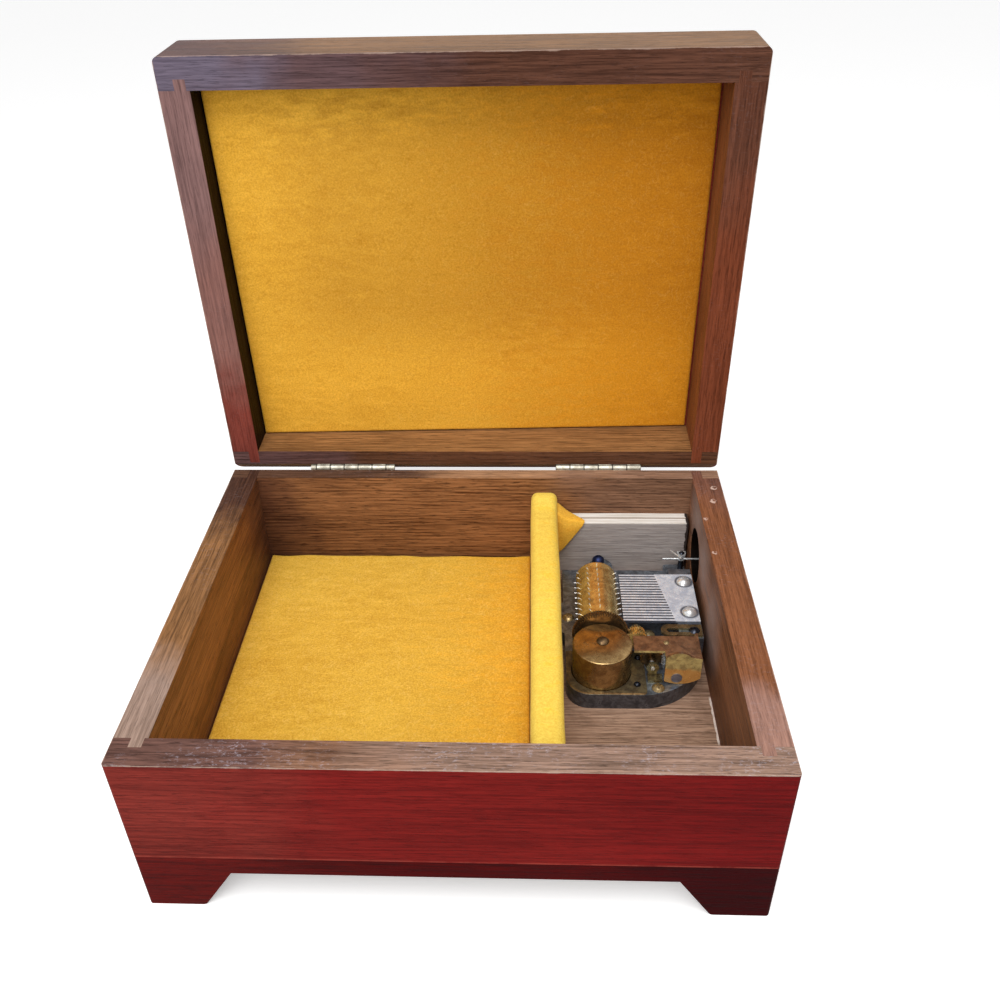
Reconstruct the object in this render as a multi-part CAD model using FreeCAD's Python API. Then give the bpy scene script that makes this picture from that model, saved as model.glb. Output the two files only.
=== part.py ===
import FreeCAD, Part
import math
import os

# Musical jewelry box with its lid standing open. Millimetres, +X right, +Y back, +Z up.
# The origin is on the surface that it stands on, in the middle of the case with its open lid.
# The case is drawn about the middle of its own footprint. The lid is drawn closed on it and then
# turned open about its hinge axis. The movement is drawn with the winding arbor's axis at
# x = y = 0 and the underside of its bedplate at z = 0, and is then set down in the case.
# Last of all, everything is moved forward together, to the origin.

V = FreeCAD.Vector
X_AXIS, Y_AXIS, Z_AXIS = V(1, 0, 0), V(0, 1, 0), V(0, 0, 1)

# Case
CASE_WIDTH = 168.0
CASE_DEPTH = 137.0
CASE_HEIGHT = 56.0
BOARD = 9.0
SKIRT_HEIGHT = 20.5
CASE_CORNER_RADIUS = 1.0
REAR_BEVEL = 4.0
TONGUE = 3.4
FRONT_TONGUE_FROM_OUTSIDE = 4.7
FRONT_TONGUE_LENGTH = 3.0
REAR_TONGUE_LENGTH = 4.5
FOOT_LENGTH = 15.7
FOOT_SLOPE_RUN = 9.2
FOOT_CLEARANCE_HEIGHT = 14.2
FOOT_TOE_RADIUS = 1.8
BOTTOM_THICKNESS = 4.0
BOTTOM_LEDGE = 5.0

# Lid
LID_FRAME_HEIGHT = 17.5
LID_PANEL_THICKNESS = 5.0
LID_CORNER_RADIUS = 1.8
LID_EDGE_RADIUS = 1.8
RIM_GAP = 0.3
OPEN_ANGLE = 88.7
LID_VELVET_THICKNESS = 1.0
LID_VELVET_SIDE_GAP = 0.5
LID_VELVET_END_GAP = 0.3
LID_VELVET_DEPTH_LEFT_FRONT = 8.2
LID_VELVET_DEPTH_LEFT_REAR = 11.5

# Hinges: short lengths of small-knuckled strip, cut where they were cut
HINGE_LENGTH = 29.4
HINGE_STARTS_AND_FIRST_KNUCKLES = ((-57.0, 1.9), (28.6, 4.9))
KNUCKLE_PITCH = 4.9
KNUCKLE_RADIUS = 1.0
KNUCKLE_END_GAP = 0.1
HINGE_TO_WOOD = 0.1
HINGE_PIN_RADIUS = 0.45
PIN_RUNNING_CLEARANCE = 0.03
LEAF_THICKNESS = 0.6
LEAF_DEPTH = 4.0
KERF_HALF_LENGTH = 30.5
KERF_DEPTH = 6.0

# Fittings of the case
COMPARTMENT_WIDTH = 45.8
DIVIDER_THICKNESS = 9.1
DIVIDER_HEIGHT = 27.5
DIVIDER_EDGE_RADIUS = 2.6
VELVET_THICKNESS = 0.8
VELVET_FLAP_LENGTH = 9.0
VELVET_FLAP_TIP_HEIGHT = 21.3
VELVET_FLAP_FOOT_HEIGHT = 10.0
SOFT_GAP = 0.2
PAD_THICKNESS = 2.3
PAD_LEFT_GAP = 0.6
SUPPORT_THICKNESS = 6.0
SUPPORT_HEIGHT = 20.8
SUPPORT_LEFT_GAP = 0.3
SUPPORT_RIGHT_GAP = 0.7
POCKET_RADIUS = 9.4
POCKET_DEPTH = 5.0
POCKET_FROM_REAR_WALL = 18.5
POCKET_ABOVE_FLOOR = 16.5

# Movement: place, bedplate and its screws
BED_TO_DIVIDER = 1.8
EAR_TO_SUPPORT = 0.5
BED_LEFT = -10.7
BED_RIGHT = 31.8
BED_FRONT = -10.0
BED_REAR = 49.9
BED_THICKNESS = 5.7
BED_FRONT_LEFT_RADIUS = 7.0
SWEEP_START_X = 13.0
SWEEP_MIDDLE = (24.1, -5.7)
SWEEP_END_Y = 6.4
REAR_EAR_LEFT = -1.2
REAR_EAR_WIDTH = 8.0
REAR_EAR_END = 56.4
LEFT_EAR_OVERHANG = 1.3
LEFT_EAR_FRONT = 17.4
LEFT_EAR_LENGTH = 15.0
STOP_EAR_LEFT = 24.3
STOP_EAR_END = 53.4
LEDGE_LEFT = 24.3
LEDGE_RIGHT = 31.6
LEDGE_FRONT = 6.8
LEDGE_REAR = 41.0
LEDGE_TOP = 13.4
POCKET_WEB = 2.0
RIM_WEB = 2.5
WOOD_SCREW_SHANK = 1.2
WOOD_SCREW_LENGTH = 3.3
WOOD_SCREW_HOLE_CLEARANCE = 0.2
CROSS_SCREW_HEAD = 2.0
CROSS_SCREW_HEAD_HEIGHT = 1.1
DOME_SCREW_HEAD = 2.1
DOME_SCREW_HEAD_HEIGHT = 3.0
LEFT_SCREW = (-9.3, 24.9)
FRONT_SCREW = (16.8, -6.9)
REAR_SCREW = (2.0, 54.0)

# Movement: gear teeth, in modules and counts
FINE_MODULE = 0.25
BARREL_TEETH = 70
CONTRATE_TEETH = 64
GREAT_TEETH = 68
IDLER_PINION_TEETH = 21
IDLER_WHEEL_TEETH = 24
GOVERNOR_PINION_TEETH = 16
WORM_WHEEL_MODULE = 0.32
WORM_WHEEL_TEETH = 20
TOOTH_BACKLASH = 0.12
CONTRATE_BACKLASH = 0.38
CONTRATE_TOOTH_WIDTH = 0.35
TIP_CLEARANCE = 0.1

# Movement: spring barrel and winding
BARREL_RADIUS = 9.0
BARREL_WALL = 0.6
BARREL_TOP = 16.6
BARREL_COVER = 0.6
BARREL_EDGE_RADIUS = 0.45
BARREL_DOME = 1.0
BARREL_FOOT_BOTTOM = 2.4
BARREL_FOOT_TOP = 5.4
BARREL_TO_GREAT_GEAR = 0.3
WELL_FLOOR = 2.0
WELL_CLEARANCE = 0.3
ARBOR_RADIUS = 1.5
ARBOR_CORE_RADIUS = 2.0
ARBOR_TOP_RADIUS = 1.2
ARBOR_HEAD_RADIUS = 1.9
ARBOR_HEAD_HEIGHT = 0.9
ARBOR_HEAD_GAP = 0.1
RUNNING_CLEARANCE = 0.05
SPRING_STRIP = 0.25
SPRING_PITCH = 0.82
SPRING_TO_CORE = 0.17
SPRING_END_GAP = 0.4
RATCHET_TEETH = 12
RATCHET_RADIUS = 5.0
RATCHET_TOOTH_DEPTH = 0.8
RATCHET_THICKNESS = 1.0
RATCHET_LIFT = 0.2
RATCHET_RECESS = 1.4
RATCHET_RECESS_CLEARANCE = 0.6
CLICK_PIVOT_ALONG = 6.4
CLICK_BOSS_RADIUS = 1.2
CLICK_ARM_WIDTH = 1.0
CLICK_NOSE_WIDTH = 0.7
CLICK_NOSE_LENGTH = 1.8
CLICK_LIFT_ROOM = 1.8
CLICK_GAP = 0.1
CLICK_RIVET_RADIUS = 0.5
KEY_HUB_RADIUS = 3.0
KEY_HUB_TOP_GAP = 1.2
KEY_HUB_LENGTH = 10.8
KEY_WING_SPAN = 20.0
KEY_WING_HEIGHT = 8.8
KEY_WING_THICKNESS = 1.6
KEY_WING_CORNER = 3.0
KEY_WING_HOLE = 1.8
KEY_WING_HOLE_FROM_AXIS = 6.3
KEY_FOOT_CLEARANCE = 3.7
ARBOR_IN_KEY = 7.0
KEY_HOLE_RADIUS = 4.0

# Movement: base plate round the barrel
BASE_PLATE_THICKNESS = 0.7
BASE_PLATE_RIGHT = 13.3
BASE_PLATE_INSET = 0.1
BASE_PLATE_CORNER = 1.0
BASE_PLATE_HOLE_CLEARANCE = 0.2
BASE_SCREWS = ((10.5, -6.2), (11.7, 5.4))
SMALL_SCREW_SHANK = 0.5
SMALL_SCREW_HEAD = 1.1
SMALL_SCREW_HEAD_HEIGHT = 0.8
SMALL_SCREW_LENGTH = 3.2

# Movement: cylinder, comb and their bearings
CYLINDER_AXIS_HEIGHT = 12.5
CYLINDER_RADIUS = 6.6
CYLINDER_WALL = 0.6
CYLINDER_FRONT = 12.8
CYLINDER_REAR = 37.2
CYLINDER_PIN_RADIUS = 0.2
CYLINDER_PIN_LENGTH = 0.7
PINS_PER_TOOTH = 5
CYLINDER_ARBOR_RADIUS = 1.0
CYLINDER_ARBOR_FRONT = 9.5
CYLINDER_ARBOR_REAR = 39.4
GREAT_GEAR_THICKNESS = 1.2
TRAIN_PLATE_FRONT = 11.6
TRAIN_PLATE_THICKNESS = 0.8
TRAIN_PLATE_BOSS = 4.0
TRAIN_PLATE_BAR_TOP = 10.0
REAR_BRACKET_FRONT = 37.6
REAR_BRACKET_THICKNESS = 1.0
REAR_BRACKET_BOSS = 4.4
COMB_FRONT = 13.0
COMB_REAR = 36.4
COMB_RIGHT = 31.3
COMB_TEETH = 18
COMB_SLOT = 0.3
COMB_TOOTH_THICKNESS = 0.8
COMB_HEEL_THICKNESS = 1.4
COMB_TIP_CLEARANCE = 0.15
COMB_ROOT_FRONT = 23.6
COMB_ROOT_REAR = 19.0
COMB_SCREW_X = 28.4
COMB_SCREW_YS = (17.5, 32.6)
COMB_SCREW_SHANK = 1.4
COMB_SCREW_HEAD = 2.35
COMB_SCREW_HEAD_HEIGHT = 1.5
COMB_SCREW_LENGTH = 5.5
SCREW_CLEARANCE = 0.1

# Movement: idler, governor and fly
IDLER_STUD_RADIUS = 0.8
IDLER_HUB_RADIUS = 1.5
IDLER_WHEEL_FRONT = 6.8
FINE_WHEEL_THICKNESS = 1.0
STUD_HEAD_RADIUS = 1.3
STUD_HEAD_THICKNESS = 0.6
END_SHAKE = 0.2
GOVERNOR_X = 15.3
GOVERNOR_HEIGHT = 9.6
GOVERNOR_ARBOR_RADIUS = 0.6
GOVERNOR_ARBOR_FRONT = -2.9
FINE_RUNNING_CLEARANCE = 0.03
WORM_Y = 2.0
WORM_WHEEL_THICKNESS = 0.8
WORM_WHEEL_HUB = 1.3
WORM_WHEEL_HUB_LENGTH = 1.2
WORM_PITCH_RADIUS = 0.85
WORM_TURNS = 4.0
WORM_THREAD_BACKLASH = 0.16
WORM_SHAFT_RADIUS = 0.45
WORM_PIVOT_RADIUS = 0.3
PIVOT_DEPTH = 0.7
FLY_BOTTOM = 13.4
FLY_HEIGHT = 1.4
FLY_RADIUS = 4.4
FLY_BLADE_THICKNESS = 0.4
FLY_HUB_RADIUS = 1.0
WORM_BRACKET_FRONT = -2.5
WORM_BRACKET_THICKNESS = 0.8
WORM_BRACKET_BOSS = 1.9
WORM_BRACKET_NECK = 2.6
WORM_BRACKET_FOOT_LEFT = 13.9
WORM_BRACKET_FOOT_RIGHT = 18.3
WORM_BRACKET_FOOT_FRONT = -4.8
WORM_BRACKET_FOOT_THICKNESS = 0.9
FRAME_SHEET = 0.8
FRAME_FRONT = -5.2
FRAME_LEFT = 18.6
FRAME_RIGHT = 29.3
FRAME_SIDE_FOOT = 3.2
FRAME_SIDE_REAR = 6.2
FRAME_TOP = 15.9
FRAME_ARCH_TOP = 18.2
FRAME_ARCH_X = 22.2
FRAME_ARCH_RIGHT = 26.0
FRAME_SHOULDER = 16.6
FRAME_TOP_PLATE_FRONT = -1.7
FRAME_TOP_PLATE_REAR = 5.0
FRAME_TO_BARREL = 0.45
FRAME_LEFT_CORNER_LIFT = 1.2
FRAME_FRONT_LIFT = 0.1
FRAME_CORNER_LIFT = 2.4
FRAME_LOWEST_X = 22.8
FRAME_RIVET = (22.2, 8.4)
FRAME_RIVET_RADIUS = 1.65
FRAME_RIVET_HEIGHT = 0.35
PIVOT_BUSH_RADIUS = 0.9
PIVOT_BUSH_HEIGHT = 0.5
COCK_LEFT = 18.7
COCK_FRONT = 7.2
COCK_REAR = 12.3
COCK_THICKNESS = 0.8
COCK_CORNER = 2.4
COCK_SLOT = ((21.3, 27.4), 9.6, 0.85)
COCK_SCREW = (29.0, 9.6)
COCK_SCREW_HEAD = 1.7

# Movement: stop lever at the right rear
STOP_POST = (30.1, 50.4)
STOP_POST_RADIUS = 0.6
STOP_POST_HEAD_RADIUS = 0.95
STOP_POST_HEAD = 0.5
STOP_HUB_RADIUS = 1.4
STOP_HUB_BOTTOM = 10.6
STOP_HUB_TOP = 12.9
STOP_SLEEVE_RADIUS = 0.95
STOP_WIRE_RADIUS = 0.3
STOP_WIRE_Y = 49.3
STOP_WIRE_HEIGHT = 11.4
STOP_WIRE_LEFT = 23.6
STOP_WIRE_RIGHT = 36.2
FEELER_WIRE_HEIGHT = 12.3
FEELER_WIRE_FRONT = (29.9, 48.0)
FEELER_WIRE_REAR = (26.7, 52.7)
STOP_TAB_WIDTH = 3.0
STOP_TAB_THICKNESS = 0.5
STOP_TAB_FROM_POST = 0.2

# Worked out from the sizes above
OUTER_X = CASE_WIDTH / 2
OUTER_Y = CASE_DEPTH / 2
INNER_X = OUTER_X - BOARD
INNER_Y = OUTER_Y - BOARD
FLOOR = SKIRT_HEIGHT
LID_RIM = CASE_HEIGHT + RIM_GAP
LID_PANEL_BOTTOM = LID_RIM + LID_FRAME_HEIGHT
LID_TOP = LID_PANEL_BOTTOM + LID_PANEL_THICKNESS
HINGE_REACH = KNUCKLE_RADIUS + HINGE_TO_WOOD
HINGE_Z = CASE_HEIGHT + RIM_GAP / 2
HINGE_Y = OUTER_Y - REAR_BEVEL + CASE_HEIGHT + math.sqrt(2) * HINGE_REACH - HINGE_Z
DIVIDER_RIGHT = INNER_X - COMPARTMENT_WIDTH
DIVIDER_LEFT = DIVIDER_RIGHT - DIVIDER_THICKNESS
SUPPORT_FRONT = INNER_Y - SUPPORT_THICKNESS
MOVEMENT_PLACE = V(DIVIDER_RIGHT + BED_TO_DIVIDER - BED_LEFT,
                   SUPPORT_FRONT - EAR_TO_SUPPORT - REAR_EAR_END, FLOOR)
GREAT_RADIUS = FINE_MODULE * GREAT_TEETH / 2
BARREL_PITCH_RADIUS = FINE_MODULE * BARREL_TEETH / 2
CONTRATE_TIP_Y = BARREL_PITCH_RADIUS - FINE_MODULE
GREAT_GEAR_FRONT = BARREL_RADIUS + BARREL_TO_GREAT_GEAR
BASE_PLATE_REAR = CONTRATE_TIP_Y - WELL_CLEARANCE
WELL_RADIUS = BARREL_PITCH_RADIUS + FINE_MODULE + WELL_CLEARANCE
PIN_REACH = CYLINDER_RADIUS + CYLINDER_PIN_LENGTH
COMB_TOP = LEDGE_TOP + COMB_HEEL_THICKNESS
WORM_WHEEL_RADIUS = WORM_WHEEL_MODULE * WORM_WHEEL_TEETH / 2
WORM_X = GOVERNOR_X + WORM_WHEEL_RADIUS + WORM_PITCH_RADIUS
WORM_LEAD = math.pi * WORM_WHEEL_MODULE


def circle_crossing(centre_a, radius_a, centre_b, radius_b):
    """Upper crossing of two circles, as (x, z)."""
    dx, dz = centre_b[0] - centre_a[0], centre_b[1] - centre_a[1]
    apart = math.hypot(dx, dz)
    along = (radius_a ** 2 - radius_b ** 2 + apart ** 2) / (2 * apart)
    aside = math.sqrt(radius_a ** 2 - along ** 2)
    return (centre_a[0] + (along * dx - aside * dz) / apart,
            centre_a[1] + (along * dz + aside * dx) / apart)


GREAT_CENTRE = (0.0, CYLINDER_AXIS_HEIGHT)
GOVERNOR_CENTRE = (GOVERNOR_X, GOVERNOR_HEIGHT)
IDLER_CENTRE = circle_crossing(GREAT_CENTRE, FINE_MODULE * (GREAT_TEETH + IDLER_PINION_TEETH) / 2,
                               GOVERNOR_CENTRE,
                               FINE_MODULE * (IDLER_WHEEL_TEETH + GOVERNOR_PINION_TEETH) / 2)


def box(x, y, z):
    """Block from three (low, high) pairs."""
    return Part.makeBox(x[1] - x[0], y[1] - y[0], z[1] - z[0], V(x[0], y[0], z[0]))


def rod(radius, start, end):
    """Round rod between two points."""
    way = end.sub(start)
    return Part.makeCylinder(radius, way.Length, start, way)


def upright(radius, place, z):
    """Round rod along Z at a plan place."""
    return rod(radius, V(place[0], place[1], z[0]), V(place[0], place[1], z[1]))


def lengthways(radius, centre, y):
    """Round rod along Y through an (x, z) centre."""
    return rod(radius, V(centre[0], y[0], centre[1]), V(centre[0], y[1], centre[1]))


def prism(points, way):
    """Solid from a closed outline of points, drawn out along a vector."""
    return Part.Face(Part.makePolygon(points + [points[0]])).extrude(way)


def prism_along_x(points, x):
    """Solid from (y, z) points between two x places."""
    return prism([V(x[0], y, z) for y, z in points], V(x[1] - x[0], 0, 0))


def prism_along_y(points, y):
    """Solid from (x, z) points between two y places."""
    return prism([V(x, y[0], z) for x, z in points], V(0, y[1] - y[0], 0))


def prism_along_z(points, z):
    """Solid from (x, y) points between two heights."""
    return prism([V(x, y, z[0]) for x, y in points], V(0, 0, z[1] - z[0]))


def rounded_block(x, y, z, radius):
    """Block with its four upright edges rounded."""
    block = box(x, y, z)
    upright_edges = [edge for edge in block.Edges if abs(edge.BoundBox.ZLength - (z[1] - z[0])) < 0.001]
    return block.makeFillet(radius, upright_edges)


def joined(first, *others):
    """One solid from pieces that meet."""
    return first.fuse(list(others)).removeSplitter()


def domed_head(radius, height, place, z):
    """Low domed screw head on a plan place: a ball's cap."""
    ball_radius = (radius ** 2 + height ** 2) / (2 * height)
    ball = Part.makeSphere(ball_radius, V(place[0], place[1], z + height - ball_radius))
    return ball.common(upright(radius, place, (z, z + height)))


def cross_recess(place, top, reach, depth):
    """Cross-shaped cut for a screwdriver."""
    x, y = place
    half = reach / 5
    one = box((x - reach, x + reach), (y - half, y + half), (top - depth, top + depth))
    return one.fuse(box((x - half, x + half), (y - reach, y + reach), (top - depth, top + depth)))


def slot_recess(place, top, reach, half_width, depth):
    """Straight screwdriver slot along X."""
    x, y = place
    return box((x - reach, x + reach), (y - half_width, y + half_width), (top - depth, top + depth))


# Case


def bevel_cut(z_edge, direction):
    """What is planed off a rear rim edge; direction is +1 for a top edge, -1 for a bottom edge."""
    reach = OUTER_Y - REAR_BEVEL
    over = 1.0
    return prism_along_x([(reach, z_edge), (OUTER_Y, z_edge - direction * REAR_BEVEL),
                          (OUTER_Y + over, z_edge - direction * REAR_BEVEL),
                          (OUTER_Y + over, z_edge + direction * over), (reach, z_edge + direction * over)],
                         (-OUTER_X - over, OUTER_X + over))


def rim_boards(z, corner_radius):
    """Four boards of a rim: front and back run the full width, the sides are tongued into them."""
    outline = rounded_block((-OUTER_X, OUTER_X), (-OUTER_Y, OUTER_Y), z, corner_radius)
    front = box((-OUTER_X, OUTER_X), (-OUTER_Y, -INNER_Y), z)
    back = box((-OUTER_X, OUTER_X), (INNER_Y, OUTER_Y), z)
    boards = {}
    for name, side in (("left", -1), ("right", 1)):
        plank = box(sorted((side * INNER_X, side * OUTER_X)), (-INNER_Y, INNER_Y), z)
        front_outside = side * (OUTER_X - FRONT_TONGUE_FROM_OUTSIDE)
        front_tongue = box(sorted((front_outside, front_outside - side * TONGUE)),
                           (-INNER_Y - FRONT_TONGUE_LENGTH, -INNER_Y), z)
        rear_tongue = box(sorted((side * INNER_X, side * (INNER_X + TONGUE))),
                          (INNER_Y, INNER_Y + REAR_TONGUE_LENGTH), z)
        front = front.cut(front_tongue)
        back = back.cut(rear_tongue)
        boards[name] = joined(plank, front_tongue, rear_tongue).common(outline)
    boards["front"] = front.common(outline)
    boards["back"] = back.common(outline)
    return boards


def hinge_kerf(start, way):
    """Saw cut in a bevel that takes a leaf: a thin disc as large as the saw that made it."""
    saw_radius = (KERF_HALF_LENGTH ** 2 + KERF_DEPTH ** 2) / (2 * KERF_DEPTH)
    across = V(0, -way.z, way.y)
    to_centre = V(way).multiply(HINGE_REACH + KERF_DEPTH - saw_radius)
    centre = V(start + HINGE_LENGTH / 2, HINGE_Y, HINGE_Z).add(to_centre)
    half = V(across).multiply(LEAF_THICKNESS / 2)
    return rod(saw_radius, centre.sub(half), centre.add(half))


def case_leaf_way():
    """Direction of the case leaves, down into the bevel."""
    return V(0, -math.sqrt(0.5), -math.sqrt(0.5))


def lid_leaf_way():
    """Direction of the lid leaves with the lid closed, up into the bevel."""
    return V(0, -math.sqrt(0.5), math.sqrt(0.5))


def case_boards():
    """The four walls above the skirt, with the rear bevel, the hinge kerfs and the side pocket."""
    boards = rim_boards((SKIRT_HEIGHT, CASE_HEIGHT), CASE_CORNER_RADIUS)
    boards["back"] = boards["back"].cut(bevel_cut(CASE_HEIGHT, 1))
    for start, first in HINGE_STARTS_AND_FIRST_KNUCKLES:
        boards["back"] = boards["back"].cut(hinge_kerf(start, case_leaf_way()))
    pocket_start = V(INNER_X, INNER_Y - POCKET_FROM_REAR_WALL, FLOOR + POCKET_ABOVE_FLOOR)
    boards["right"] = boards["right"].cut(rod(POCKET_RADIUS, pocket_start,
                                              pocket_start.add(V(POCKET_DEPTH, 0, 0))))
    return boards


def skirt_profile(half_length):
    """Elevation of a skirt board: two bracket feet and the cut-out between them."""
    foot_end = half_length - FOOT_LENGTH
    cut_end = foot_end - FOOT_SLOPE_RUN
    return [(-half_length, 0), (-foot_end, 0), (-cut_end, FOOT_CLEARANCE_HEIGHT),
            (cut_end, FOOT_CLEARANCE_HEIGHT), (foot_end, 0), (half_length, 0),
            (half_length, SKIRT_HEIGHT), (-half_length, SKIRT_HEIGHT)]


def bottom_board_block():
    """The bottom board before its holes: it lies in a rebate of the skirt."""
    return box((-INNER_X - BOTTOM_LEDGE, INNER_X + BOTTOM_LEDGE),
               (-INNER_Y - BOTTOM_LEDGE, INNER_Y + BOTTOM_LEDGE), (FLOOR - BOTTOM_THICKNESS, FLOOR))


def with_rounded_toes(board, half_length, way):
    """Round the lower edge of each foot beside the cut-out."""
    toes = [edge for edge in board.Edges
            if abs(edge.BoundBox.ZMax) < 0.001
            and abs(abs(edge.CenterOfMass.dot(way)) - (half_length - FOOT_LENGTH)) < 0.001]
    return board.makeFillet(FOOT_TOE_RADIUS, toes)


def skirt_boards():
    """Four mitred boards with bracket feet."""
    z = (0, SKIRT_HEIGHT)
    outline = rounded_block((-OUTER_X, OUTER_X), (-OUTER_Y, OUTER_Y), z, CASE_CORNER_RADIUS)
    outline = outline.cut(bottom_board_block())
    boards = {}
    for name, side in (("front", -1), ("back", 1)):
        plan = [(-OUTER_X, side * OUTER_Y), (OUTER_X, side * OUTER_Y),
                (INNER_X, side * INNER_Y), (-INNER_X, side * INNER_Y)]
        board = prism_along_y(skirt_profile(OUTER_X), sorted((side * OUTER_Y, side * INNER_Y)))
        board = with_rounded_toes(board, OUTER_X, X_AXIS)
        boards[name] = board.common(prism_along_z(plan, z)).common(outline)
    for name, side in (("left", -1), ("right", 1)):
        plan = [(side * OUTER_X, -OUTER_Y), (side * OUTER_X, OUTER_Y),
                (side * INNER_X, INNER_Y), (side * INNER_X, -INNER_Y)]
        board = prism_along_x(skirt_profile(OUTER_Y), sorted((side * OUTER_X, side * INNER_X)))
        board = with_rounded_toes(board, OUTER_Y, Y_AXIS)
        boards[name] = board.common(prism_along_z(plan, z)).common(outline)
    return boards


def bottom_board():
    """Bottom board with the winding hole and the pilot holes of the movement's screws."""
    board = bottom_board_block()
    holes = [upright(KEY_HOLE_RADIUS, (0, 0), (-BOTTOM_THICKNESS, 0))]
    for place in (LEFT_SCREW, FRONT_SCREW, REAR_SCREW):
        holes.append(upright(WOOD_SCREW_SHANK, place, (-WOOD_SCREW_LENGTH, 0)))
    for hole in holes:
        hole.translate(MOVEMENT_PLACE)
        board = board.cut(hole)
    return board


def floor_pad():
    """Velvet covered card on the floor of the left tray."""
    return box((-INNER_X + PAD_LEFT_GAP, DIVIDER_LEFT - SOFT_GAP),
               (-INNER_Y + SOFT_GAP, INNER_Y - SOFT_GAP), (FLOOR, FLOOR + PAD_THICKNESS))


def round_edged_bar(x, y, top, radius):
    """Upright bar along Y on the floor, with its two upper edges rounded."""
    bar = box(x, y, (FLOOR, top))
    upper_edges = [edge for edge in bar.Edges
                   if edge.BoundBox.ZMin > top - 0.001 and edge.BoundBox.YLength > edge.BoundBox.XLength]
    return bar.makeFillet(radius, upper_edges)


def divider_core():
    """Wooden core of the divider."""
    return round_edged_bar((DIVIDER_LEFT + VELVET_THICKNESS, DIVIDER_RIGHT - VELVET_THICKNESS),
                           (-INNER_Y, INNER_Y), FLOOR + DIVIDER_HEIGHT - VELVET_THICKNESS,
                           DIVIDER_EDGE_RADIUS - VELVET_THICKNESS)


def divider_velvet():
    """Velvet folded over the core, with its loose flap at the right rear."""
    y = (-INNER_Y + SOFT_GAP, INNER_Y - SOFT_GAP)
    cover = round_edged_bar((DIVIDER_LEFT, DIVIDER_RIGHT), y, FLOOR + DIVIDER_HEIGHT, DIVIDER_EDGE_RADIUS)
    flap_y = (SUPPORT_FRONT - SOFT_GAP - VELVET_THICKNESS, SUPPORT_FRONT - SOFT_GAP)
    root = DIVIDER_RIGHT - VELVET_THICKNESS
    flap = prism_along_y([(root, FLOOR + VELVET_FLAP_FOOT_HEIGHT),
                          (DIVIDER_RIGHT + VELVET_FLAP_LENGTH, FLOOR + VELVET_FLAP_TIP_HEIGHT),
                          (root, FLOOR + DIVIDER_HEIGHT - DIVIDER_EDGE_RADIUS)], flap_y)
    return joined(cover, flap).cut(divider_core())


def rear_support_board():
    """Raw board behind the movement."""
    return box((DIVIDER_RIGHT + SUPPORT_LEFT_GAP, INNER_X - SUPPORT_RIGHT_GAP), (SUPPORT_FRONT, INNER_Y),
               (FLOOR, FLOOR + SUPPORT_HEIGHT))


# Lid


def opened(shape):
    """Turn a piece of the closed lid to its open place."""
    shape = shape.copy()
    shape.rotate(V(0, HINGE_Y, HINGE_Z), X_AXIS, -OPEN_ANGLE)
    return shape


def lid_boards():
    """The four boards of the lid's frame, closed."""
    boards = rim_boards((LID_RIM, LID_PANEL_BOTTOM), LID_CORNER_RADIUS)
    boards["back"] = boards["back"].cut(bevel_cut(LID_RIM, -1))
    for start, first in HINGE_STARTS_AND_FIRST_KNUCKLES:
        boards["back"] = boards["back"].cut(hinge_kerf(start, lid_leaf_way()))
    return boards


def lid_top_panel():
    """Panel laid over the lid's frame, with its upper edges rounded."""
    panel = rounded_block((-OUTER_X, OUTER_X), (-OUTER_Y, OUTER_Y), (LID_PANEL_BOTTOM, LID_TOP),
                          LID_CORNER_RADIUS)
    top_edges = [edge for edge in panel.Edges if edge.BoundBox.ZMin > LID_TOP - 0.001]
    return panel.makeFillet(min(LID_EDGE_RADIUS, LID_PANEL_THICKNESS / 2, LID_CORNER_RADIUS - 0.1), top_edges)


def lid_velvet_panel():
    """Thin covered card in the lid. It has dropped at its left edge and is seated at its right."""
    front, rear = -INNER_Y + LID_VELVET_END_GAP, INNER_Y - LID_VELVET_END_GAP
    left, right = -INNER_X + SOFT_GAP, INNER_X - LID_VELVET_SIDE_GAP
    seat = LID_PANEL_BOTTOM - LID_VELVET_THICKNESS
    ends = []
    for x, front_z, rear_z in ((left, LID_RIM + LID_VELVET_DEPTH_LEFT_FRONT,
                                LID_RIM + LID_VELVET_DEPTH_LEFT_REAR), (right, seat, seat)):
        points = [V(x, front, front_z), V(x, rear, rear_z), V(x, rear, rear_z + LID_VELVET_THICKNESS),
                  V(x, front, front_z + LID_VELVET_THICKNESS)]
        ends.append(Part.makePolygon(points + [points[0]]))
    return Part.makeLoft(ends, True, True)


# Hinges


def knuckle_spans(start, first):
    """(low, high) of each knuckle of a hinge; the first and last can be parts of a knuckle."""
    edges = [start, start + first]
    while edges[-1] + KNUCKLE_PITCH < start + HINGE_LENGTH - KNUCKLE_RADIUS:
        edges.append(edges[-1] + KNUCKLE_PITCH)
    edges.append(start + HINGE_LENGTH)
    return list(zip(edges[:-1], edges[1:]))


def leaf_plate(x, way, reach):
    """Flat part of a leaf between two distances from the hinge axis."""
    along = [V(way).multiply(distance) for distance in reach]
    across = V(0, -way.z, way.y).multiply(LEAF_THICKNESS / 2)
    axis = V(x[0], HINGE_Y, HINGE_Z)
    points = [axis.add(along[0]).sub(across), axis.add(along[1]).sub(across),
              axis.add(along[1]).add(across), axis.add(along[0]).add(across)]
    return prism(points, V(x[1] - x[0], 0, 0))


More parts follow.
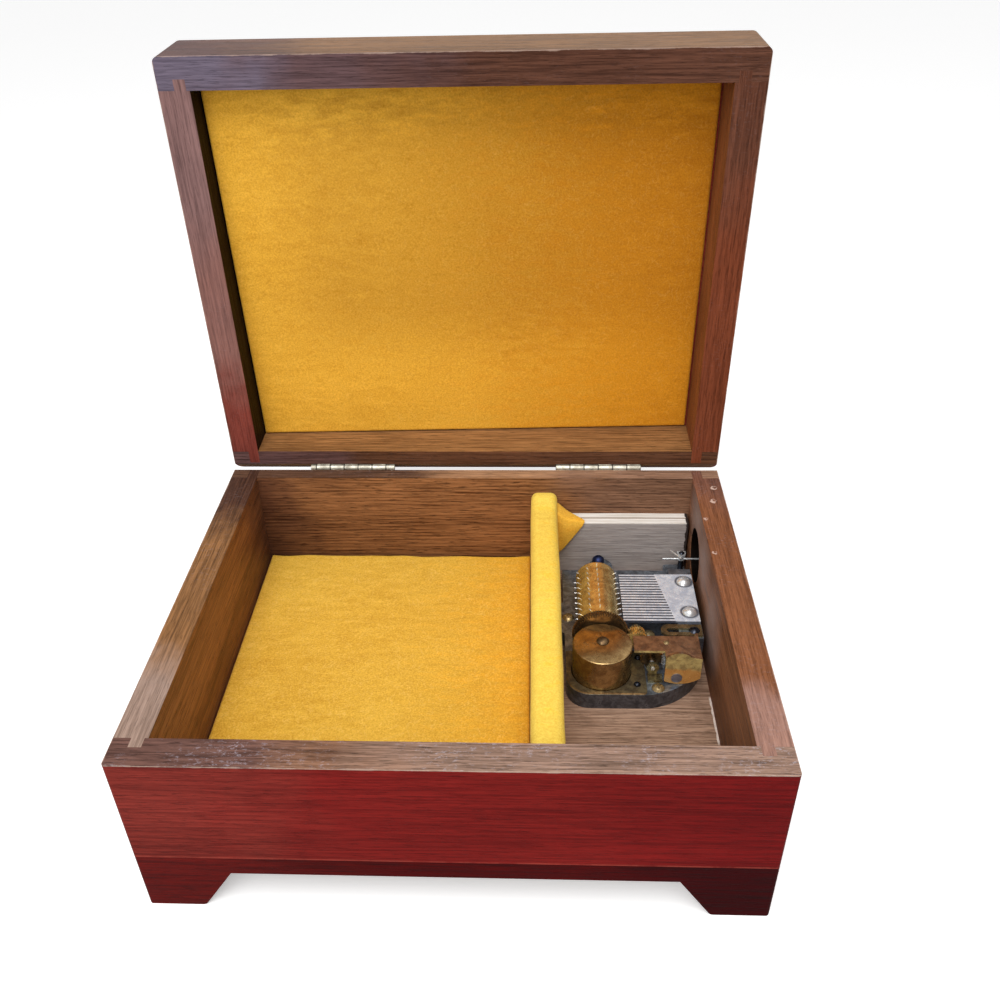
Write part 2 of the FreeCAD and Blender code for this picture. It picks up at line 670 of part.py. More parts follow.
def hinge_leaf(start, first, way, turn, bore_radius):
    """One leaf with every second knuckle, counted from the one numbered turn."""
    leaf = leaf_plate((start, start + HINGE_LENGTH), way, (HINGE_REACH, HINGE_REACH + LEAF_DEPTH))
    parts = []
    for low, high in knuckle_spans(start, first)[turn::2]:
        span = (low + KNUCKLE_END_GAP / 2, high - KNUCKLE_END_GAP / 2)
        parts.append(rod(KNUCKLE_RADIUS, V(span[0], HINGE_Y, HINGE_Z), V(span[1], HINGE_Y, HINGE_Z)))
        parts.append(leaf_plate(span, way, (0, HINGE_REACH + LEAF_DEPTH / 2)))
    bore = rod(bore_radius, V(start - 1, HINGE_Y, HINGE_Z), V(start + HINGE_LENGTH + 1, HINGE_Y, HINGE_Z))
    return joined(leaf, *parts).cut(bore)


def hinge_case_leaves():
    """Leaves in the case, which hold the pins."""
    return Part.makeCompound([hinge_leaf(start, first, case_leaf_way(), 0, HINGE_PIN_RADIUS)
                              for start, first in HINGE_STARTS_AND_FIRST_KNUCKLES])


def hinge_lid_leaves():
    """Leaves in the lid, closed."""
    return Part.makeCompound([hinge_leaf(start, first, lid_leaf_way(), 1,
                                         HINGE_PIN_RADIUS + PIN_RUNNING_CLEARANCE)
                              for start, first in HINGE_STARTS_AND_FIRST_KNUCKLES])


def hinge_pins():
    """One pin in each hinge."""
    return Part.makeCompound([rod(HINGE_PIN_RADIUS, V(start, HINGE_Y, HINGE_Z),
                                  V(start + HINGE_LENGTH, HINGE_Y, HINGE_Z))
                              for start, first in HINGE_STARTS_AND_FIRST_KNUCKLES])


# Gear teeth


def gear_points(teeth, module, phase, backlash):
    """Outline of a spur gear about (0, 0); phase is the angle of one tooth's middle in degrees."""
    pitch_radius = module * teeth / 2
    root_radius = pitch_radius - module - TIP_CLEARANCE
    tip_radius = pitch_radius + module
    tooth = (math.pi * module - backlash) / 2
    flank = ((root_radius, tooth / 2 + module * 0.35), (pitch_radius, tooth / 2),
             (tip_radius, tooth / 2 - module * 0.4))
    points = []
    for index in range(teeth):
        middle = math.radians(phase) + 2 * math.pi * index / teeth
        for radius, half in flank:
            points.append((radius, middle - half / pitch_radius))
        for radius, half in reversed(flank):
            points.append((radius, middle + half / pitch_radius))
    return [(radius * math.cos(angle), radius * math.sin(angle)) for radius, angle in points]


def gear(centre, teeth, module, phase, y, backlash=TOOTH_BACKLASH):
    """Spur gear about an axis along Y, whose centre is (x, z)."""
    points = [(centre[0] + px, centre[1] + pz) for px, pz in gear_points(teeth, module, phase, backlash)]
    return prism_along_y(points, y)


def meshed_phase(centre_a, phase_a, teeth_a, centre_b, teeth_b):
    """Phase of a gear so that its gap faces the tooth of the gear that it meshes with."""
    way = math.degrees(math.atan2(centre_b[1] - centre_a[1], centre_b[0] - centre_a[0]))
    return way + 180 + (way - phase_a) * teeth_a / teeth_b + 180 / teeth_b


GREAT_PHASE = -90.0
IDLER_PINION_PHASE = meshed_phase(GREAT_CENTRE, GREAT_PHASE, GREAT_TEETH, IDLER_CENTRE, IDLER_PINION_TEETH)
IDLER_WHEEL_PHASE = 90.0
GOVERNOR_PINION_PHASE = meshed_phase(IDLER_CENTRE, IDLER_WHEEL_PHASE, IDLER_WHEEL_TEETH,
                                     GOVERNOR_CENTRE, GOVERNOR_PINION_TEETH)
WORM_WHEEL_PHASE = 180 / WORM_WHEEL_TEETH


# Movement: bedplate and what is screwed to it


def bed_outline(z):
    """Bedplate outline: rounded at the front left, swept at the front right, with three ears."""
    left, front = BED_LEFT, BED_FRONT
    radius = BED_FRONT_LEFT_RADIUS
    on_arc = radius * (1 - math.sqrt(0.5))
    corners = [V(left, BED_REAR, z[0]), V(left, front + radius, z[0]),
               V(left + on_arc, front + on_arc, z[0]), V(left + radius, front, z[0]),
               V(SWEEP_START_X, front, z[0]), V(SWEEP_MIDDLE[0], SWEEP_MIDDLE[1], z[0]),
               V(BED_RIGHT, SWEEP_END_Y, z[0]), V(BED_RIGHT, BED_REAR, z[0])]
    edges = [Part.makeLine(corners[0], corners[1]),
             Part.Arc(corners[1], corners[2], corners[3]).toShape(),
             Part.makeLine(corners[3], corners[4]),
             Part.Arc(corners[4], corners[5], corners[6]).toShape(),
             Part.makeLine(corners[6], corners[7]),
             Part.makeLine(corners[7], corners[0])]
    plate = Part.Face(Part.Wire(edges)).extrude(V(0, 0, z[1] - z[0]))
    ear_radius = REAR_EAR_WIDTH / 2
    ear_middle = REAR_EAR_LEFT + ear_radius
    ear_centre_y = REAR_EAR_END - ear_radius
    rear_ear = box((REAR_EAR_LEFT, REAR_EAR_LEFT + REAR_EAR_WIDTH), (BED_REAR - ear_radius, ear_centre_y), z)
    rear_ear_end = upright(ear_radius, (ear_middle, ear_centre_y), z)
    left_ear = rounded_block((BED_LEFT - LEFT_EAR_OVERHANG, BED_LEFT + LEFT_EAR_LENGTH / 2),
                             (LEFT_EAR_FRONT, LEFT_EAR_FRONT + LEFT_EAR_LENGTH), z, LEFT_EAR_OVERHANG)
    stop_ear = rounded_block((STOP_EAR_LEFT, BED_RIGHT), (BED_REAR - 4, STOP_EAR_END), z, 1.5)
    return joined(plate, rear_ear, rear_ear_end, left_ear, stop_ear)


def lightening_pockets():
    """Hollows under the bedplate, clear of its screws, its well and its rim."""
    top = BED_THICKNESS - POCKET_WEB
    inner_left, inner_right = BED_LEFT + RIM_WEB, BED_RIGHT - RIM_WEB
    middle = (LEDGE_LEFT + BED_LEFT) / 2
    well_end = WELL_RADIUS + RIM_WEB
    return [box((inner_left + RIM_WEB * 2, middle), (well_end + 1, BED_REAR - RIM_WEB), (0, top)),
            box((middle + RIM_WEB, inner_right), (well_end + 1, BED_REAR - RIM_WEB), (0, top)),
            box((well_end, inner_right - RIM_WEB), (SWEEP_END_Y, well_end - RIM_WEB), (0, top))]


def bedplate():
    """Zinc casting: plate, ledge under the comb, barrel well, gear slot and screw holes."""
    ledge = box((LEDGE_LEFT, LEDGE_RIGHT), (LEDGE_FRONT, LEDGE_REAR), (BED_THICKNESS, LEDGE_TOP))
    bed = joined(bed_outline((0, BED_THICKNESS)), ledge)
    gear_tip = GREAT_RADIUS + FINE_MODULE + WELL_CLEARANCE
    gear_below_top = CYLINDER_AXIS_HEIGHT - BED_THICKNESS
    gear_half_slot = math.sqrt(gear_tip ** 2 - gear_below_top ** 2) + WELL_CLEARANCE
    cuts = [upright(WELL_RADIUS, (0, 0), (WELL_FLOOR, BED_THICKNESS)),
            box((-gear_half_slot, gear_half_slot),
                (BASE_PLATE_REAR, GREAT_GEAR_FRONT + GREAT_GEAR_THICKNESS + WELL_CLEARANCE),
                (CYLINDER_AXIS_HEIGHT - gear_tip, BED_THICKNESS)),
            lengthways(PIN_REACH + RIM_GAP, GREAT_CENTRE,
                       (CYLINDER_FRONT - RIM_GAP, CYLINDER_REAR + RIM_GAP)),
            upright(RATCHET_RADIUS + RATCHET_RECESS_CLEARANCE, (0, 0), (0, RATCHET_RECESS)),
            click_recess(),
            upright(ARBOR_RADIUS + RUNNING_CLEARANCE, (0, 0), (0, WELL_FLOOR)),
            upright(CLICK_RIVET_RADIUS, click_pivot(), (0, WELL_FLOOR)),
            upright(WORM_PIVOT_RADIUS + FINE_RUNNING_CLEARANCE, (WORM_X, WORM_Y),
                    (BED_THICKNESS - PIVOT_DEPTH - RUNNING_CLEARANCE, BED_THICKNESS)),
            upright(STOP_POST_RADIUS, STOP_POST, (BED_THICKNESS / 2, BED_THICKNESS)),
            upright(SMALL_SCREW_SHANK, COCK_SCREW, (LEDGE_TOP - SMALL_SCREW_LENGTH, LEDGE_TOP))]
    for place in (LEFT_SCREW, FRONT_SCREW, REAR_SCREW):
        cuts.append(upright(WOOD_SCREW_SHANK + WOOD_SCREW_HOLE_CLEARANCE, place, (0, BED_THICKNESS)))
    for place in BASE_SCREWS:
        cuts.append(upright(SMALL_SCREW_SHANK, place, (BED_THICKNESS - SMALL_SCREW_LENGTH, BED_THICKNESS)))
    for y in COMB_SCREW_YS:
        cuts.append(upright(COMB_SCREW_SHANK, (COMB_SCREW_X, y), (LEDGE_TOP - COMB_SCREW_LENGTH, LEDGE_TOP)))
    return bed.cut(cuts + lightening_pockets()).removeSplitter()


def mounting_screws():
    """Three wood screws that hold the bedplate down; the rear one has a high round head."""
    screws = []
    for place in (LEFT_SCREW, FRONT_SCREW):
        head = domed_head(CROSS_SCREW_HEAD, CROSS_SCREW_HEAD_HEIGHT, place, BED_THICKNESS)
        shank = upright(WOOD_SCREW_SHANK, place, (-WOOD_SCREW_LENGTH, BED_THICKNESS))
        recess = cross_recess(place, BED_THICKNESS + CROSS_SCREW_HEAD_HEIGHT, CROSS_SCREW_HEAD * 0.6, 0.5)
        screws.append(joined(head, shank).cut(recess))
    head = domed_head(DOME_SCREW_HEAD, DOME_SCREW_HEAD_HEIGHT, REAR_SCREW, BED_THICKNESS)
    shank = upright(WOOD_SCREW_SHANK, REAR_SCREW, (-WOOD_SCREW_LENGTH, BED_THICKNESS))
    recess = slot_recess(REAR_SCREW, BED_THICKNESS + DOME_SCREW_HEAD_HEIGHT, DOME_SCREW_HEAD, 0.25, 0.6)
    screws.append(joined(head, shank).cut(recess))
    return Part.makeCompound(screws)


def barrel_base_plate():
    """Brass plate on the bedplate round the barrel's foot, open towards the great gear."""
    x = (BED_LEFT + BASE_PLATE_INSET, BASE_PLATE_RIGHT)
    y = (BED_FRONT + BASE_PLATE_INSET, BASE_PLATE_REAR)
    z = (BED_THICKNESS, BED_THICKNESS + BASE_PLATE_THICKNESS)
    plate = box(x, y, z)
    front_left = [edge for edge in plate.Edges if edge.BoundBox.ZLength > BASE_PLATE_THICKNESS / 2
                  and edge.BoundBox.XMax < x[0] + 0.001 and edge.BoundBox.YMax < y[0] + 0.001]
    plate = plate.makeFillet(BED_FRONT_LEFT_RADIUS - BASE_PLATE_INSET, front_left)
    front_right = [edge for edge in plate.Edges if edge.BoundBox.ZLength > BASE_PLATE_THICKNESS / 2
                   and edge.BoundBox.XMin > x[1] - 0.001 and edge.BoundBox.YMax < y[0] + 0.001]
    plate = plate.makeFillet(BASE_PLATE_CORNER, front_right)
    holes = [upright(BARREL_RADIUS + BASE_PLATE_HOLE_CLEARANCE, (0, 0), z)]
    for place in BASE_SCREWS:
        holes.append(upright(SMALL_SCREW_SHANK + SCREW_CLEARANCE, place, z))
    return plate.cut(holes)


def small_screw(place, seat):
    """Small slotted screw standing on a seat height."""
    head = domed_head(SMALL_SCREW_HEAD, SMALL_SCREW_HEAD_HEIGHT, place, seat)
    shank = upright(SMALL_SCREW_SHANK, place, (seat - SMALL_SCREW_LENGTH, seat))
    recess = slot_recess(place, seat + SMALL_SCREW_HEAD_HEIGHT, SMALL_SCREW_HEAD, 0.15, 0.35)
    return joined(head, shank).cut(recess)


def base_plate_screws():
    """Screws of the brass base plate."""
    return Part.makeCompound([small_screw(place, BED_THICKNESS + BASE_PLATE_THICKNESS)
                              for place in BASE_SCREWS])


# Movement: spring barrel and winding


def spring_barrel():
    """Drum on a toothed foot that drives the great gear; a gap of the foot faces that gear."""
    z = (BARREL_FOOT_BOTTOM, BARREL_FOOT_TOP)
    foot = prism_along_z(gear_points(BARREL_TEETH, FINE_MODULE, 90 + 180 / BARREL_TEETH, TOOTH_BACKLASH), z)
    wall = upright(BARREL_RADIUS, (0, 0), (BARREL_FOOT_TOP, BARREL_TOP))
    hollow = upright(BARREL_RADIUS - BARREL_WALL, (0, 0), (BARREL_FOOT_TOP, BARREL_TOP))
    bore = upright(ARBOR_RADIUS + RUNNING_CLEARANCE, (0, 0), z)
    return joined(foot.cut(bore), wall.cut(hollow))


def barrel_cover():
    """Cap pressed on the drum: a rounded edge and a low dome."""
    cover = upright(BARREL_RADIUS, (0, 0), (BARREL_TOP, BARREL_TOP + BARREL_COVER))
    top = BARREL_TOP + BARREL_COVER
    top_edges = [edge for edge in cover.Edges if edge.BoundBox.ZMin > top - 0.001]
    cover = cover.makeFillet(min(BARREL_EDGE_RADIUS, BARREL_COVER * 0.75), top_edges)
    dome = domed_head(BARREL_RADIUS - BARREL_EDGE_RADIUS, BARREL_DOME, (0, 0), top)
    bore = upright(ARBOR_TOP_RADIUS + RUNNING_CLEARANCE, (0, 0), (BARREL_TOP, top + BARREL_DOME))
    return joined(cover, dome).cut(bore)


def mainspring():
    """Spiral strip, drawn as half circles whose centres alternate."""
    step = SPRING_PITCH / 2
    first = ARBOR_CORE_RADIUS + SPRING_TO_CORE + SPRING_STRIP / 2
    room = BARREL_RADIUS - BARREL_WALL - SPRING_STRIP
    half_turns = int((room - first - step) / step)
    height = BARREL_FOOT_TOP + SPRING_END_GAP
    tracks = []
    for offset in (-SPRING_STRIP / 2, SPRING_STRIP / 2):
        arcs = []
        for index in range(half_turns):
            radius = first + index * step + offset
            middle = 0.0 if index % 2 == 0 else step
            side = 1 if index % 2 == 0 else -1
            arcs.append(Part.Arc(V(middle + side * radius, 0, height), V(middle, side * radius, height),
                                 V(middle - side * radius, 0, height)).toShape())
        tracks.append(arcs)
    starts = [arcs[0].Vertexes[0].Point for arcs in tracks]
    ends = [arcs[-1].Vertexes[1].Point for arcs in tracks]
    caps = [Part.makeLine(starts[0], starts[1]), Part.makeLine(ends[0], ends[1])]
    outline = Part.Wire(Part.__sortEdges__(tracks[0] + tracks[1] + caps))
    return Part.Face(outline).extrude(V(0, 0, BARREL_TOP - SPRING_END_GAP - height))


def winding_arbor():
    """Arbor from the key to its domed head on the barrel cover."""
    bottom = -BOTTOM_THICKNESS - KEY_HUB_TOP_GAP - ARBOR_IN_KEY
    core_top = BARREL_TOP - SPRING_END_GAP
    core_bottom = BARREL_FOOT_TOP + SPRING_END_GAP / 2
    cover_top = BARREL_TOP + BARREL_COVER + BARREL_DOME + ARBOR_HEAD_GAP
    shaft = upright(ARBOR_RADIUS, (0, 0), (bottom, core_bottom))
    core = upright(ARBOR_CORE_RADIUS, (0, 0), (core_bottom, core_top))
    top_pin = upright(ARBOR_TOP_RADIUS, (0, 0), (core_top, cover_top))
    return joined(shaft, core, top_pin, domed_head(ARBOR_HEAD_RADIUS, ARBOR_HEAD_HEIGHT, (0, 0), cover_top))


def ratchet_wheel():
    """Saw-toothed wheel on the arbor, under the bedplate."""
    points = []
    step = 2 * math.pi / RATCHET_TEETH
    for index in range(RATCHET_TEETH):
        angle = -math.pi / 2 + index * step
        for radius in (RATCHET_RADIUS, RATCHET_RADIUS - RATCHET_TOOTH_DEPTH):
            points.append((radius * math.cos(angle), radius * math.sin(angle)))
    z = (RATCHET_LIFT, RATCHET_LIFT + RATCHET_THICKNESS)
    return prism_along_z(points, z).cut(upright(ARBOR_RADIUS, (0, 0), z))


def click_pivot():
    """Plan place of the click's rivet."""
    return (CLICK_PIVOT_ALONG, -(RATCHET_RADIUS - RATCHET_TOOTH_DEPTH))


def ratchet_click():
    """Pawl that lets the arbor wind one way; its nose stands in a tooth gap."""
    nose = RATCHET_RADIUS - RATCHET_TOOTH_DEPTH + CLICK_GAP * 2
    shoulder = RATCHET_RADIUS + CLICK_GAP
    pivot = click_pivot()
    z = (RATCHET_LIFT, RATCHET_LIFT + RATCHET_THICKNESS)
    nose_end = CLICK_GAP + CLICK_NOSE_LENGTH
    half_boss = CLICK_BOSS_RADIUS / 2
    arm = prism_along_z([(CLICK_GAP, -nose), (nose_end, -shoulder),
                         (pivot[0] - half_boss, pivot[1] - half_boss),
                         (pivot[0], pivot[1] - CLICK_BOSS_RADIUS),
                         (nose_end, -shoulder - CLICK_ARM_WIDTH),
                         (CLICK_GAP, -shoulder - CLICK_NOSE_WIDTH)], z)
    boss = upright(CLICK_BOSS_RADIUS, pivot, z)
    return joined(arm, boss).cut(upright(CLICK_RIVET_RADIUS + RUNNING_CLEARANCE, pivot, z))


def click_recess():
    """Room for the click and its lift, in the bedplate's underside."""
    pivot = click_pivot()
    room = CLICK_BOSS_RADIUS + RATCHET_RECESS_CLEARANCE
    front = -RATCHET_RADIUS - CLICK_GAP - CLICK_LIFT_ROOM
    return box((-RATCHET_RECESS_CLEARANCE, pivot[0] + room), (front, pivot[1] + room), (0, RATCHET_RECESS))


def click_rivet():
    """Rivet that the click turns on."""
    return upright(CLICK_RIVET_RADIUS, click_pivot(), (RATCHET_LIFT, WELL_FLOOR))


def winding_key():
    """Butterfly key on the arbor's end, in the room between the feet."""
    hub_top = -BOTTOM_THICKNESS - KEY_HUB_TOP_GAP
    wing_bottom = KEY_FOOT_CLEARANCE - FLOOR
    hub = upright(KEY_HUB_RADIUS, (0, 0), (hub_top - KEY_HUB_LENGTH, hub_top))
    wing = box((-KEY_WING_SPAN / 2, KEY_WING_SPAN / 2), (-KEY_WING_THICKNESS / 2, KEY_WING_THICKNESS / 2),
               (wing_bottom, wing_bottom + KEY_WING_HEIGHT))
    corners = [edge for edge in wing.Edges if edge.BoundBox.YLength > KEY_WING_THICKNESS / 2]
    wing = wing.makeFillet(KEY_WING_CORNER, corners)
    wing_middle = wing_bottom + KEY_WING_HEIGHT / 2
    holes = [lengthways(KEY_WING_HOLE, (side * KEY_WING_HOLE_FROM_AXIS, wing_middle),
                        (-KEY_WING_THICKNESS, KEY_WING_THICKNESS)) for side in (-1, 1)]
    bore = upright(ARBOR_RADIUS, (0, 0), (hub_top - ARBOR_IN_KEY, hub_top))
    return joined(hub, wing).cut(holes + [bore])


# Movement: cylinder, comb and bearings


def contrate_teeth():
    """Teeth that stand forward from the great gear's face, inside its rim; one is at the bottom."""
    tooth = (math.pi * FINE_MODULE - CONTRATE_BACKLASH) / 2
    root_half, tip_half = tooth / 2 + FINE_MODULE * 0.2, tooth / 2 - FINE_MODULE * 0.2
    inside = GREAT_GEAR_FRONT + GREAT_GEAR_THICKNESS / 2
    rim_root = GREAT_RADIUS - FINE_MODULE - TIP_CLEARANCE
    bottom = CYLINDER_AXIS_HEIGHT - rim_root + TIP_CLEARANCE / 2
    lowest = prism_along_z([(-root_half, inside), (root_half, inside), (root_half, GREAT_GEAR_FRONT),
                            (tip_half, CONTRATE_TIP_Y), (-tip_half, CONTRATE_TIP_Y),
                            (-root_half, GREAT_GEAR_FRONT)], (bottom, bottom + CONTRATE_TOOTH_WIDTH))
    teeth = []
    for index in range(CONTRATE_TEETH):
        tooth_copy = lowest.copy()
        tooth_copy.rotate(V(0, 0, CYLINDER_AXIS_HEIGHT), Y_AXIS, 360 * index / CONTRATE_TEETH)
        teeth.append(tooth_copy)
    return teeth


def great_gear():
    """Gear on the cylinder's arbor: the barrel drives its face teeth, its rim drives the idler."""
    y = (GREAT_GEAR_FRONT, GREAT_GEAR_FRONT + GREAT_GEAR_THICKNESS)
    wheel = gear(GREAT_CENTRE, GREAT_TEETH, FINE_MODULE, GREAT_PHASE, y)
    return joined(wheel, *contrate_teeth()).cut(lengthways(CYLINDER_ARBOR_RADIUS, GREAT_CENTRE, y))


def cylinder_arbor():
    """Steel arbor through the great gear, both bearings and the cylinder."""
    return lengthways(CYLINDER_ARBOR_RADIUS, GREAT_CENTRE, (CYLINDER_ARBOR_FRONT, CYLINDER_ARBOR_REAR))


def cylinder():
    """Thin brass drum with end walls."""
    outside = lengthways(CYLINDER_RADIUS, GREAT_CENTRE, (CYLINDER_FRONT, CYLINDER_REAR))
    inside = lengthways(CYLINDER_RADIUS - CYLINDER_WALL, GREAT_CENTRE,
                        (CYLINDER_FRONT + CYLINDER_WALL, CYLINDER_REAR - CYLINDER_WALL))
    bore = lengthways(CYLINDER_ARBOR_RADIUS, GREAT_CENTRE, (CYLINDER_FRONT, CYLINDER_REAR))
    return outside.cut(inside).cut(bore)


def tooth_y(index):
    """Middle of a comb tooth."""
    return COMB_FRONT + (index + 0.5) * (COMB_REAR - COMB_FRONT) / COMB_TEETH


def cylinder_pins():
    """Pins in a row round the cylinder for each comb tooth, unevenly spaced by a rule."""
    pins = []
    sector = 360 / PINS_PER_TOOTH
    for tooth in range(COMB_TEETH):
        for turn in range(PINS_PER_TOOTH):
            angle = math.radians(sector * turn + sector * ((3 * tooth + 5 * turn) % 6) / 8)
            way = V(math.cos(angle), 0, math.sin(angle))
            foot = V(GREAT_CENTRE[0], tooth_y(tooth), GREAT_CENTRE[1]).add(V(way).multiply(CYLINDER_RADIUS))
            pins.append(Part.makeCylinder(CYLINDER_PIN_RADIUS, CYLINDER_PIN_LENGTH, foot, way))
    return Part.makeCompound(pins)


def train_plate():
    """Upright plate with the front bearings of the cylinder and the governor and the idler's stud."""
    y = (TRAIN_PLATE_FRONT, TRAIN_PLATE_FRONT + TRAIN_PLATE_THICKNESS)
    governor_boss = GOVERNOR_ARBOR_RADIUS * 3.5
    stud_boss = IDLER_STUD_RADIUS * 2.1
    right = GOVERNOR_X + governor_boss
    pieces = [lengthways(TRAIN_PLATE_BOSS, GREAT_CENTRE, y),
              box((-TRAIN_PLATE_BOSS, TRAIN_PLATE_BOSS), y, (BED_THICKNESS, CYLINDER_AXIS_HEIGHT)),
              lengthways(stud_boss, IDLER_CENTRE, y),
              box((IDLER_CENTRE[0] - stud_boss, IDLER_CENTRE[0] + stud_boss), y,
                  (BED_THICKNESS, IDLER_CENTRE[1])),
              lengthways(governor_boss, GOVERNOR_CENTRE, y),
              box((GOVERNOR_X - governor_boss, right), y, (BED_THICKNESS, GOVERNOR_HEIGHT)),
              box((-TRAIN_PLATE_BOSS, GOVERNOR_X), y, (BED_THICKNESS, TRAIN_PLATE_BAR_TOP))]
    cuts = [lengthways(CYLINDER_ARBOR_RADIUS + RUNNING_CLEARANCE, GREAT_CENTRE, y),
            lengthways(IDLER_STUD_RADIUS, IDLER_CENTRE, y),
            lengthways(GOVERNOR_ARBOR_RADIUS + FINE_RUNNING_CLEARANCE, GOVERNOR_CENTRE, y)]
    return joined(*pieces).cut(cuts)


def cylinder_rear_bracket():
    """Upright plate with a rounded top and the cylinder's rear bearing."""
    y = (REAR_BRACKET_FRONT, REAR_BRACKET_FRONT + REAR_BRACKET_THICKNESS)
    plate = joined(lengthways(REAR_BRACKET_BOSS, GREAT_CENTRE, y),
                   box((-REAR_BRACKET_BOSS, REAR_BRACKET_BOSS), y, (BED_THICKNESS, CYLINDER_AXIS_HEIGHT)))
    return plate.cut(lengthways(CYLINDER_ARBOR_RADIUS + RUNNING_CLEARANCE, GREAT_CENTRE, y))


def comb():
    """Steel comb: a thick heel on the ledge and one tooth for each row of pins."""
    tip = PIN_REACH + COMB_TIP_CLEARANCE
    pitch = (COMB_REAR - COMB_FRONT) / COMB_TEETH
    points = [(COMB_RIGHT, COMB_FRONT)]
    for index in range(COMB_TEETH):
        low, high = COMB_FRONT + index * pitch, COMB_FRONT + (index + 1) * pitch
        share = (index + 1) / COMB_TEETH
        root = COMB_ROOT_FRONT + (COMB_ROOT_REAR - COMB_ROOT_FRONT) * share
        points += [(tip, low + COMB_SLOT / 2), (tip, high - COMB_SLOT / 2)]
        if index < COMB_TEETH - 1:
            points += [(root, high - COMB_SLOT / 2), (root, high + COMB_SLOT / 2)]
    points.append((COMB_RIGHT, COMB_REAR))
    teeth = prism_along_z(points, (COMB_TOP - COMB_TOOTH_THICKNESS, COMB_TOP))
    heel = box((LEDGE_LEFT, COMB_RIGHT), (COMB_FRONT, COMB_REAR), (LEDGE_TOP, COMB_TOP))
    holes = [upright(COMB_SCREW_SHANK + SCREW_CLEARANCE, (COMB_SCREW_X, y), (LEDGE_TOP, COMB_TOP))
             for y in COMB_SCREW_YS]
    return joined(teeth, heel).cut(holes)


def comb_screws():
    """Large domed screws of the comb."""
    screws = []
    for y in COMB_SCREW_YS:
        place = (COMB_SCREW_X, y)
        head = domed_head(COMB_SCREW_HEAD, COMB_SCREW_HEAD_HEIGHT, place, COMB_TOP)
        shank = upright(COMB_SCREW_SHANK, place, (LEDGE_TOP - COMB_SCREW_LENGTH, COMB_TOP))
        recess = slot_recess(place, COMB_TOP + COMB_SCREW_HEAD_HEIGHT, COMB_SCREW_HEAD, 0.25, 0.5)
        screws.append(joined(head, shank).cut(recess))
    return Part.makeCompound(screws)


# Movement: idler, governor and fly


def idler_stud():
    """Headed stud fixed in the train plate."""
    head_rear = IDLER_WHEEL_FRONT - END_SHAKE
    head = lengthways(STUD_HEAD_RADIUS, IDLER_CENTRE, (head_rear - STUD_HEAD_THICKNESS, head_rear))
    body = lengthways(IDLER_STUD_RADIUS, IDLER_CENTRE,
                      (head_rear - STUD_HEAD_THICKNESS / 2, TRAIN_PLATE_FRONT + TRAIN_PLATE_THICKNESS))
    return joined(head, body)


def idler_gear():
    """Double gear on the stud: its pinion meets the great gear, its wheel drives the governor."""
    pinion_y = (GREAT_GEAR_FRONT, GREAT_GEAR_FRONT + GREAT_GEAR_THICKNESS)
    wheel_y = (IDLER_WHEEL_FRONT, IDLER_WHEEL_FRONT + FINE_WHEEL_THICKNESS)
    pinion = gear(IDLER_CENTRE, IDLER_PINION_TEETH, FINE_MODULE, IDLER_PINION_PHASE, pinion_y)
    wheel = gear(IDLER_CENTRE, IDLER_WHEEL_TEETH, FINE_MODULE, IDLER_WHEEL_PHASE, wheel_y)
    hub = lengthways(IDLER_HUB_RADIUS, IDLER_CENTRE, (wheel_y[0], TRAIN_PLATE_FRONT - END_SHAKE))
    bore = lengthways(IDLER_STUD_RADIUS + FINE_RUNNING_CLEARANCE, IDLER_CENTRE,
                      (wheel_y[0] - 1, TRAIN_PLATE_FRONT))
    return joined(pinion, wheel, hub).cut(bore)


def governor_arbor():
    """Arbor with the pinion that the idler's wheel turns."""
    pinion_y = (IDLER_WHEEL_FRONT - END_SHAKE, IDLER_WHEEL_FRONT + FINE_WHEEL_THICKNESS + END_SHAKE)
    pinion = gear(GOVERNOR_CENTRE, GOVERNOR_PINION_TEETH, FINE_MODULE, GOVERNOR_PINION_PHASE, pinion_y)
    return joined(pinion, lengthways(GOVERNOR_ARBOR_RADIUS, GOVERNOR_CENTRE,
                                     (GOVERNOR_ARBOR_FRONT, TRAIN_PLATE_FRONT + TRAIN_PLATE_THICKNESS)))


def worm_wheel():
    """Coarse wheel that turns the worm."""
    y = (WORM_Y - WORM_WHEEL_THICKNESS / 2, WORM_Y + WORM_WHEEL_THICKNESS / 2)
    wheel = gear(GOVERNOR_CENTRE, WORM_WHEEL_TEETH, WORM_WHEEL_MODULE, WORM_WHEEL_PHASE, y,
                 TOOTH_BACKLASH * 2)
    hub = lengthways(WORM_WHEEL_HUB, GOVERNOR_CENTRE, (y[0] - WORM_WHEEL_HUB_LENGTH, y[0]))
    bore = lengthways(GOVERNOR_ARBOR_RADIUS, GOVERNOR_CENTRE, (y[0] - WORM_WHEEL_HUB_LENGTH, y[1]))
    return joined(wheel, hub).cut(bore)


